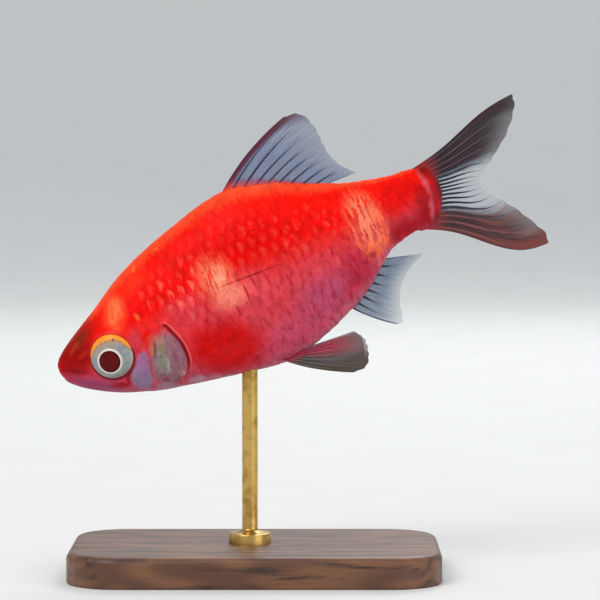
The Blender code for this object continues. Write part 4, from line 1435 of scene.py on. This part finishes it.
# %% Eye materials
def eye_finish():
    made, board, shader = finish(
        "eye_silver", roughness=0.38, coat=0.12, coat_roughness=0.03, specular=0.08
    )
    back, up, ring = board.split(board.stored("iris", "Vector"))
    flat = board.lay("ShaderNodeCombineXYZ", {0: back, 1: 0.0, 2: up})
    spokes = board.vector("MULTIPLY", board.vector("NORMALIZE", flat), (9.0, 9.0, 9.0))
    spokes = board.noise(spokes, 2.2, detail=5.0, rough=0.7)
    cloud = board.noise(flat, 3.2, detail=4.0)
    silver = board.blend(board.between(spokes, 0.30, 0.70), paint("848A88"), paint("ACB0AA"))
    silver = board.blend(board.between(cloud, 0.42, 0.62), silver, paint("8C929C"))
    silver = board.blend(board.between(up, 0.10, 0.75) * 0.75, silver, paint("B89A88"))
    colour = board.blend(board.between(ring, 0.625, 0.555), silver, paint("EEDACE"))
    colour = board.blend(board.between(ring, 0.91, 0.985), colour, paint("D4C0B4"))
    ragged = wandered(board, flat, 2.6, (0.20, 0.0, 0.20))
    gold = 1.0 - oval(board, ragged, (-0.05, -0.29), (1.15, 1.15), 0.22, 1.0)
    gold_tone = board.blend(cloud, paint("FF8A0C"), paint("F8A430"))
    colour = board.blend(gold, colour, gold_tone)
    seam = board.between(abs(gold - 0.42), 0.40, 0.05) * board.between(spokes, 0.38, 0.60)
    colour = board.blend(seam * 0.75, colour, paint("7E6432"))
    notch = oval(board, flat, (0.42, 0.66), (0.075, 0.060), 0.6, 0.9)
    colour = board.blend(notch, colour, paint("201008"))
    pupil = board.blend(board.between(ring, 0.420, 0.470), paint("5C0002"), paint("060001"))
    colour = board.blend(board.between(ring, 0.510, 0.500), colour, pupil)
    metal = board.between(ring, 0.52, 0.60) * (0.35 - gold * 0.35)
    connect(board, shader, Base_Color=colour, Metallic=metal)
    raised(board, shader, spokes, 0.00003, 0.5)
    return made


def fold_finish():
    made, board, shader = finish(
        "eye_fold_skin", roughness=0.4, coat=0.12, coat_roughness=0.2, specular=0.2
    )
    place = board.stored("body", "Vector")
    height = board.stored("height")
    across = board.stored("fold")
    colour = board.group(barb_markings, {"Place": place, "Height": height})["Colour"]
    colour = lay_patches(board, place, colour, FACE_PATCHES)
    # Painted shade in the crease against the eye, faint at the top and full on the lower half
    shade = 0.25 + board.between(board.split(place)[2], 0.020, -0.040) * 0.75
    colour = board.blend(board.between(across, 0.92, 0.55) * shade, colour, paint("700820"))
    connect(board, shader, Base_Color=colour)
    mottle = board.group(fine_mottle, {"Place": place, "Size": 0.010, "Contrast": 0.3})
    raised(board, shader, mottle["Height"], 0.00003, 0.5)
    return made


eye_silver, fold_skin = eye_finish(), fold_finish()
for word, side in SIDES_OF_FISH.items():
    ball = eye_ball(side, "eye_" + word, eye_silver)
    eye_fold(side, "eye_fold_" + word, fold_skin)
    print(ball.name, len(ball.data.polygons), "faces")

# %% [markdown]
# ## Fins
# A fin is a thin clear web on jointed rays that fork on the way out. A flat card with a picture of
# rays would be lighter, but it has no ridges to catch the light, so each fin is one closed sheet
# over a middle surface. Its thickness swells at every ray and fork, and its margin dips between
# them. Each point remembers how much ray it is, so that the material can keep rays dark and the
# web clear.

# %% A rayed sheet
WEB_THICKNESS = 0.0016
RAY_THICKNESS = 0.0050
COLUMNS_PER_RAY = 14
FIN_ROWS = 56
ROOT_SUNK = 0.05
MARGIN_DIP = 0.014
RAY_RAGGEDNESS = 0.004
THINNING_OUT = 0.62


def bowed(root_u, root_v, tip_u, tip_v, bow, b):
    """Points of rays that leave the straight line from root to tip by the bow."""
    along_u, along_v = tip_u - root_u, tip_v - root_v
    length = np.hypot(along_u, along_v)
    push = bow * 4 * b * (1 - b)
    u = root_u + along_u * b - along_v / length * push
    v = root_v + along_v * b + along_u / length * push
    return u, v


def forks(off, b):
    """How much ray there is beside a ray's middle, as it forks once and again."""
    first = 0.26 * smooth_step(0.30, 0.80, b)
    second = 0.115 * smooth_step(0.62, 1.0, b)
    width = 0.13 - 0.055 * b
    ray = np.zeros(np.broadcast(off, b).shape)
    for once in (-1, 1):
        for twice in (-1, 1):
            ray = np.maximum(ray, swell(off, once * first + twice * second, width))
    return ray


def ray_fin(name, rays, middle, look, node, seed, stout=1.0):
    """A fin with middle(a, b) as its middle surface: a runs from its leading ray, 0, to its last,
    1, and b from the root, 0, to the margin, 1."""
    ragged = np.random.default_rng(seed).normal(0, RAY_RAGGEDNESS, rays)
    columns = (rays - 1) * COLUMNS_PER_RAY + 1
    a = np.linspace(0, 1, columns)
    at = a * (rays - 1)
    off = at - np.round(at)
    reach = 1 + np.interp(at, range(rays), ragged) - MARGIN_DIP * (2 * np.abs(off)) ** 1.6
    rows = np.linspace(-ROOT_SUNK, 1, FIN_ROWS)[:, None]
    b = np.where(rows > 0, rows * reach, rows)
    a = np.broadcast_to(a, b.shape)
    step = 1e-3
    points = middle(a, b)
    down = middle(a, b + step) - middle(a, b - step)
    over = middle(np.minimum(a + step, 1), b) - middle(np.maximum(a - step, 0), b)
    out = np.cross(over, down)
    out /= np.linalg.norm(out, axis=-1, keepdims=True)
    ray = forks(off[None, :], np.clip(b, 0, 1))
    lead = swell(a * (rays - 1), 0, 0.5)
    taper = 1 - THINNING_OUT * smooth_step(0.0, 1.0, b)
    thick = WEB_THICKNESS + (RAY_THICKNESS - WEB_THICKNESS) * ray * (1 + 0.5 * lead)
    half = (thick * taper * stout)[..., None] / 2
    both = np.concatenate([(points + out * half).reshape(-1, 3), (points - out * half).reshape(-1, 3)])
    fin = np.stack([a, b, ray], -1).reshape(-1, 3)
    count = np.broadcast_to(at, b.shape).ravel()
    values = {"fin": np.concatenate([fin, fin]), "ray_number": np.concatenate([count, count])}
    faces = sheet_faces(FIN_ROWS, columns)
    piece = dressed(name, both, faces.tolist(), fin_looks[look], values, sharp=70)
    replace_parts(piece, node)
    print(name, rays, "rays,", len(faces), "faces")


bend = bowed(0, 0, 1, 0, 0.1, 0.5)
print("middle of a bowed ray:", bend)

# %% [markdown]
# ## Fin finish
# All fins share one net of nodes: the web's colour and clearness, dark lines along the rays, pale
# ones between them and in the forks, a fleshy root, a dark leading edge with a dark span behind it,
# a blush of the root's colour towards the last rays, and a web that clears towards the margin. Each
# fin places it with its own colours and values.

# %% Fin web
fin_web, board, given, output = effect(
    "Fin Web",
    {
        "Fin": "v",
        "Ray Number": "f",
        "Web Colour": "c",
        "Ray Colour": "c",
        "Root Colour": "c",
        "Edge Colour": "c",
        "Web Cover": "f",
        "Ray Cover": "f",
        "Root Reach": "f",
        "Edge Reach": "f",
        "Pale Colour": "c",
        "Dark Span": "f",
        "Ray Reach": "f",
        "Ray Width": "f",
        "Fade": "f",
        "Blush": "f",
    },
    {"Colour": "c", "Alpha": "f", "Height": "f"},
)
a, b, ray = board.split(given["Fin"])
number = given["Ray Number"]
# Streaks drawn out along the rays
streak_place = board.lay("ShaderNodeCombineXYZ", {0: number * 5.0, 1: b * 4.0})
streaks = board.noise(streak_place, 1.0, detail=4.0, rough=0.6)
uneven = (streaks - 0.5) * 0.5
# Dark lines along the rays, and pale ones between them and in the forks
from_web = abs(board.math("FRACT", number) - 0.5)
from_ray = 0.5 - from_web
reach_end = given["Ray Reach"] + 0.25
taper = board.between(b + uneven, reach_end, 0.0) * given["Ray Width"]
inked = board.between(from_ray, taper, taper * 0.5)
in_fork = board.between(from_ray, 0.045, 0.010) * board.between(b, 0.30, 0.50)
pale = board.math("MAXIMUM", board.between(from_web, 0.060, 0.015), in_fork)
pale = pale * board.between(b, 0.95, 0.35)
# Where root, leading edge and dark span lie
root = board.between(b + uneven * 0.3, given["Root Reach"], 0.0)
widening = 0.7 + b**3.0 * 1.6
edge_end = given["Edge Reach"] * widening
edge = board.between(a, edge_end, edge_end * 0.35)
span_end = given["Dark Span"] + 0.14
span = a + uneven * 0.5
dark = board.between(span, span_end, given["Dark Span"] - 0.14)
# Colours from the web up
haze = board.between(streaks, 0.40, 0.85) * 0.6 + ray * 0.22
web_tone = board.blend(haze, given["Web Colour"], given["Ray Colour"])
streaked = board.between(streaks, 0.38, 0.60) * 0.75
dark_tone = board.blend(streaked, given["Edge Colour"], given["Ray Colour"])
colour = board.blend(dark, web_tone, dark_tone)
colour = board.blend(pale * dark * 0.60, colour, given["Pale Colour"])
colour = board.blend(edge, colour, given["Edge Colour"])
colour = board.blend(root, colour, given["Root Colour"])
blush = board.between(span, 0.35, 0.70) * board.between(b, 1.1, 0.50)
colour = board.blend(blush * given["Blush"], colour, given["Root Colour"])
hidden = board.math("MAXIMUM", dark, root) * 0.4
hidden = hidden + dark * root * 0.6
colour = board.blend(inked * (1.0 - hidden), colour, given["Ray Colour"])
# How much light the fin holds back
cover = given["Web Cover"] + uneven * 0.4 + ray * 0.06
cover = cover + dark * (0.90 - cover)
alpha = cover + inked * (given["Ray Cover"] - cover)
alpha = alpha + edge * (given["Ray Cover"] * 0.6)
alpha = alpha + root * given["Ray Cover"]
spared = 0.30 + board.between(b, 1.0, 0.55) * 0.60
spared = board.math("MAXIMUM", dark, edge) * spared
clear = given["Fade"] * (1.0 - spared)
fading = 1.0 - board.between(b, 0.35, 1.05) * clear
alpha = board.lay("ShaderNodeClamp", {"Value": alpha * fading, "Min": 0.015})
joints = board.math("SINE", b * 150.0)
bumps = joints * ray * 0.5 + streaks
deliver(board, output, {"Colour": colour, "Alpha": alpha, "Height": bumps})
print("fin web takes", len(given), "values")

# %% Fin materials
FIN_TONES = ["Web Colour", "Ray Colour", "Root Colour", "Edge Colour", "Pale Colour"]
FIN_VALUES = ["Web Cover", "Ray Cover", "Root Reach", "Edge Reach"]
FIN_VALUES += ["Dark Span", "Ray Reach", "Ray Width", "Fade", "Blush"]
# Each finish: its five tones, then its nine values, in the order of the two lists above.
FIN_FINISHES = {
    "dorsal_smoke": (
        "50689A 2C1E3A D8442C 5A1230 A8A0B0", 0.46, 0.85, 0.16, 0.14, 0.00, 0.75, 0.16, 0.45, 0.0
    ),
    "anal_smoke": (
        "3E6088 241C30 B03048 4A5470 A8A0B0", 0.50, 0.85, 0.08, 0.05, -1.0, 0.24, 0.22, 0.75, 0.0
    ),
    "tail_dark": (
        "6C86A4 100C16 A01A1A 301018 A87880", 0.12, 0.97, 0.26, 0.10, 0.55, 0.90, 0.46, 0.75, 0.0
    ),
    "tail_brown": (
        "6C86A4 1C1218 8A2024 74342E A07070", 0.12, 0.97, 0.24, 0.10, 0.46, 0.85, 0.44, 0.65, 0.0
    ),
    "pelvic_smoke": (
        "524E4A 30101C B00C40 42362A 8A6A70", 0.66, 0.88, 0.22, 0.30, -1.0, 0.45, 0.14, 0.32, 0.90
    ),
    "pectoral_clear": (
        "C83844 C83844 C02030 C83844 D87078", 0.02, 0.12, 0.02, 0.03, -1.0, 0.90, 0.12, 0.60, 0.0
    ),
}


def fin_finish(name, tones, *values):
    made, board, shader = finish(
        name, roughness=0.42, coat=0.08, coat_roughness=0.25, specular=0.3
    )
    wires = {"Fin": board.stored("fin", "Vector"), "Ray Number": board.stored("ray_number")}
    wires.update(zip(FIN_TONES, [paint(code) for code in tones.split()]))
    wires.update(zip(FIN_VALUES, values))
    web = board.group(fin_web, wires)
    connect(board, shader, Base_Color=web["Colour"], Alpha=web["Alpha"])
    raised(board, shader, web["Height"], 0.00002, 0.4)
    return made


fin_looks = {name: fin_finish(name, *values) for name, values in FIN_FINISHES.items()}
print("fin materials:", len(fin_looks))

# %% [markdown]
# ## Middle surfaces of the fins
# Each fin fans out between its first and last rays, and a smooth curve through a few tips gives
# its margin, with the same numbers as the solids. The webs sway a little out of flat, as in water.

# %% Fins on the body's middle
def tip_curves(points):
    """Smooth curves through the rays' tips: u and v by share of the way across the fin."""
    shares, us, vs = zip(*points)
    return Smooth(shares, us), Smooth(shares, vs)


def midline_fin(root_span, edge_curve, points, bow, wave):
    """The middle surface of a fin that grows along the back or the belly."""
    tip_u, tip_v = tip_curves(points)
    start, end = root_span

    def middle(a, b):
        root_u = start + (end - start) * a
        root_v = edge_curve(np.sqrt(root_u))
        u, v = bowed(root_u, root_v, tip_u(a), tip_v(a), bow * (1 - a), b)
        w = wave * np.sin(3.2 * pi * a + 1.2 * b) * np.clip(b, 0, 1) ** 2
        return np.stack([u, w, v], -1)

    return middle


DORSAL_TIPS = [
    (0.00, 0.745, 0.3190),
    (0.12, 0.778, 0.3170),
    (0.33, 0.806, 0.2650),
    (0.55, 0.808, 0.2150),
    (0.78, 0.818, 0.1700),
    (1.00, 0.849, 0.1250),
]
ANAL_TIPS = [
    (0.00, 0.788, -0.2490),
    (0.13, 0.803, -0.2530),
    (0.38, 0.818, -0.2050),
    (0.62, 0.838, -0.1690),
    (0.82, 0.874, -0.1400),
    (1.00, 0.920, -0.1210),
]
DORSAL_ROOT = (0.535, 0.770)
ANAL_ROOT = (0.705, 0.826)
dorsal_middle = midline_fin(DORSAL_ROOT, BACK, DORSAL_TIPS, 0.012, 0.006)
anal_middle = midline_fin(ANAL_ROOT, BELLY, ANAL_TIPS, -0.004, 0.004)
ray_fin("dorsal_web", 10, dorsal_middle, "dorsal_smoke", "dorsal_fin", 3)
ray_fin("anal_web", 8, anal_middle, "anal_smoke", "anal_fin", 5)

# %% Tail fin
CAUDAL_CENTRE = (1.0, -0.005)
CAUDAL_AXIS = radians(-10.0)
CAUDAL_SPREAD = radians(37.3)
CAUDAL_FORK = 0.118
CAUDAL_FORK_SHAPE = 1.5
CAUDAL_ROOT_SHARE = 0.95
# Each lobe: side of the axis, finish, rays, length, bow and sway.
LOBES = [
    ("upper", 1, "tail_dark", 10, 0.317, 0.004, 0.006),
    ("lower", -1, "tail_brown", 9, 0.303, 0.0155, 0.0145),
]


def lobe_middle(side, length, bow, sway):
    middle_v, half_height, _ = section(1.0)

    def middle(a, b):
        share = 1 - a
        root_v = middle_v + side * half_height * CAUDAL_ROOT_SHARE * share
        root_u = 1 + tail_edge(1, root_v)
        angle = CAUDAL_AXIS + side * CAUDAL_SPREAD * share
        outer = smooth_step(0, 1, share**CAUDAL_FORK_SHAPE)
        reach = CAUDAL_FORK + (length - CAUDAL_FORK) * outer
        tip_u = CAUDAL_CENTRE[0] + reach * np.cos(angle)
        tip_v = CAUDAL_CENTRE[1] + reach * np.sin(angle)
        u, v = bowed(root_u, root_v, tip_u, tip_v, side * bow * share, b)
        v = v - side * sway * share * np.sin(2 * pi * b)
        w = 0.006 * np.sin(2.6 * pi * share * side + 0.8) * np.clip(b, 0, 1) ** 1.5
        return np.stack([u, w, v], -1)

    return middle


for word, side, look, rays, length, bow, sway in LOBES:
    lobe = lobe_middle(side, length, bow, sway)
    ray_fin("caudal_web_" + word, rays, lobe, look, "caudal_fin_" + word, 7 + side)

# %% Paired fins
PELVIC_SIDE = 0.027
PELVIC_ROOT = (0.503, 0.545)
PELVIC_SPREAD = radians(25)
PECTORAL_SPREAD = radians(20)
PECTORAL_SUNK = 0.004
PELVIC_TIPS = [
    (0.00, 0.643, -0.3060),
    (0.15, 0.668, -0.3075),
    (0.40, 0.694, -0.2840),
    (0.70, 0.702, -0.2500),
    (1.00, 0.690, -0.2230),
]
PECTORAL_TIPS = [
    (0.00, 0.490, -0.1270),
    (0.20, 0.505, -0.1430),
    (0.50, 0.482, -0.1740),
    (0.80, 0.432, -0.1900),
    (1.00, 0.395, -0.1900),
]


def outward(u, w, v):
    """Way out of the lower skin at a point of the section at u, as w and v."""
    middle, half_height, half_width = section(u)
    across, down = w / half_width**2, (v - middle) / half_height**2
    size = np.hypot(across, down)
    return across / size, down / size


def pelvic_middle(side):
    tip_u, tip_v = tip_curves(PELVIC_TIPS)

    def middle(a, b):
        root_u = PELVIC_ROOT[0] + (PELVIC_ROOT[1] - PELVIC_ROOT[0]) * a
        centre, high, wide = section(root_u)
        root_v = centre - high * np.sqrt(1 - (PELVIC_SIDE / wide) ** 2)
        u, v = bowed(root_u, root_v, tip_u(a), tip_v(a), -0.006 * (1 - a), b)
        w = PELVIC_SIDE + (root_v - v) * tan(PELVIC_SPREAD)
        return np.stack([u, side * w, v], -1)

    return middle


def pectoral_middle(side):
    tip_u, tip_v = tip_curves(PECTORAL_TIPS)

    def middle(a, b):
        root_u = 0.312 + 0.004 * a
        root_v = -0.117 - 0.035 * a
        skin_w = flank(root_u, root_v)
        out_w, out_v = outward(root_u, skin_w, root_v)
        lift = 0.010 * smooth_step(-0.04, 0.05, b)
        u, v = bowed(root_u, root_v + out_v * lift, tip_u(a), tip_v(a), 0.004, b)
        w = skin_w - PECTORAL_SUNK + out_w * lift + (u - root_u) * tan(PECTORAL_SPREAD)
        return np.stack([u, side * w, v], -1)

    return middle


for word, side in SIDES_OF_FISH.items():
    pelvic, pectoral = pelvic_middle(side), pectoral_middle(side)
    ray_fin("pelvic_web_" + word, 8, pelvic, "pelvic_smoke", "pelvic_fin_" + word, 11)
    node = "pectoral_fin_" + word
    ray_fin("pectoral_web_" + word, 12, pectoral, "pectoral_clear", node, 13, 0.7)

# %% [markdown]
# ## Stand
# A small slab of oiled walnut with rounded corners and a softened edge carries one thin brass rod
# that reaches the belly. The slab is a stack of rounded outlines, which gives finer edges than a
# bevelled block. The grain is noise drawn out along the slab, the rod's polish lines run up it.

# %% Walnut base
BASE_SIZE = (0.042, 0.026, 0.0035)
BASE_CORNER = 0.006
BASE_EDGE = 0.0008
CORNER_STEPS = 16
EDGE_STEPS = 8


def slab_ring(inset, height):
    """The slab's rounded outline, drawn in by the inset."""
    half_x, half_y = BASE_SIZE[0] / 2 - inset, BASE_SIZE[1] / 2 - inset
    corner = BASE_CORNER - inset
    points = []
    for quarter, (sx, sy) in enumerate(((1, 1), (-1, 1), (-1, -1), (1, -1))):
        for k in range(CORNER_STEPS + 1):
            turn = pi / 2 * (quarter + k / CORNER_STEPS)
            x = sx * (half_x - corner) + corner * cos(turn)
            y = sy * (half_y - corner) + corner * sin(turn)
            points.append((x, y, height))
    return points


def walnut_finish():
    made, board, shader = finish("oiled_walnut", coat=0.15, coat_roughness=0.25)
    place = board.lay("ShaderNodeTexCoord", {}, "Object")
    figure = board.noise(place, (40.0, 160.0, 160.0), detail=2.0)
    growth = board.math("SINE", figure * 34.0) * 0.5 + 0.5
    pores = board.noise(place, (70.0, 900.0, 900.0), detail=5.0, rough=0.65)
    colour = board.blend(growth, paint("5A3620"), paint("7A4E30"))
    colour = board.blend(board.between(pores, 0.52, 0.66), colour, paint("38200F"))
    connect(board, shader, Base_Color=colour, Roughness=0.36 + pores * 0.22)
    raised(board, shader, pores, 0.00003, 0.5)
    return made


def walnut_base():
    rings = [slab_ring(0.0002, 0.0), slab_ring(0.0, 0.0002)]
    for k in range(EDGE_STEPS + 1):
        turn = pi / 2 * k / EDGE_STEPS
        height = BASE_SIZE[2] - BASE_EDGE * (1 - sin(turn))
        rings.append(slab_ring(BASE_EDGE * (1 - cos(turn)), height))
    rings += [slab_ring(inset, BASE_SIZE[2]) for inset in (0.0020, 0.0045)]
    points = [point for ring in rings for point in ring]
    piece = plain_object("walnut_base", points, tube_faces(len(rings), len(rings[0])))
    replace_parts(clad(piece, walnut_finish(), sharp=35), "stand_base")
    return piece


base = walnut_base()
print("base:", len(base.data.polygons), "faces")

# %% Brass rod
ROD_X = -0.0006
ROD_RADIUS = 0.0009
COLLAR_RADIUS = 0.0024
COLLAR_HEIGHT = 0.0009
COLLAR_NECK = 0.0005
COLLAR_BEVEL = 0.0002
INTO_BELLY = 0.0005
ROD_SIDES = 64


def belly_height(x):
    """Height of the fish's underside over a point of the stand's middle line."""
    us = np.linspace(0.2, 0.7, 400)
    keel = posed(np.stack([us, 0 * us, BELLY(np.sqrt(us))], -1))
    return float(np.interp(x, keel[:, 0], keel[:, 2]))


def brass_finish():
    made, board, shader = finish("satin_brass", metallic=1.0)
    place = board.lay("ShaderNodeTexCoord", {}, "Object")
    lines = board.noise(place, (9000.0, 9000.0, 260.0), detail=3.0)
    cloud = board.noise(place, 700.0, detail=3.0)
    colour = board.blend(board.between(cloud, 0.40, 0.75), paint("D2AC62"), paint("A87F3C"))
    connect(board, shader, Base_Color=colour, Roughness=0.20 + lines * 0.22)
    raised(board, shader, lines, 0.00001, 0.4)
    return made


def brass_rod():
    foot = BASE_SIZE[2] - 0.0001
    neck = BASE_SIZE[2] + 0.0003 + COLLAR_HEIGHT
    top = belly_height(ROD_X) + INTO_BELLY
    flat_end = COLLAR_RADIUS - COLLAR_BEVEL
    profile = [(COLLAR_RADIUS, foot), (COLLAR_RADIUS, neck - COLLAR_BEVEL)]
    profile += [(COLLAR_RADIUS - 0.00006, neck - 0.00006), (flat_end, neck)]
    for k in range(1, EDGE_STEPS + 1):
        turn = pi / 2 * k / EDGE_STEPS
        fillet = (flat_end - ROD_RADIUS) * (1 - sin(turn))
        profile.append((ROD_RADIUS + fillet, neck + COLLAR_NECK * (1 - cos(turn))))
    profile += [(ROD_RADIUS, neck + (top - neck) * t) for t in (0.25, 0.5, 0.75, 1.0)]
    points = []
    for radius, height in profile:
        for turn in circle(ROD_SIDES):
            points.append((ROD_X + radius * cos(turn), radius * sin(turn), height))
    piece = plain_object("brass_rod", points, tube_faces(len(profile), ROD_SIDES))
    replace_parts(clad(piece, brass_finish(), sharp=35), "stand_rod")


brass_rod()
print("rod top at", round(belly_height(ROD_X) * 1000, 2), "mm")

# %% [markdown]
# ## Measuring
# The dressed fish has to keep the solids' size, so both boxes are printed here.

# %% Both boxes, and the end
dressed_low, dressed_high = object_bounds()
boxes = {
    "solids": [list(solid_low), list(solid_high)],
    "dressed": [list(dressed_low), list(dressed_high)],
}
for word, corners in boxes.items():
    print(word, [[round(1000 * value, 2) for value in corner] for corner in corners], "mm")
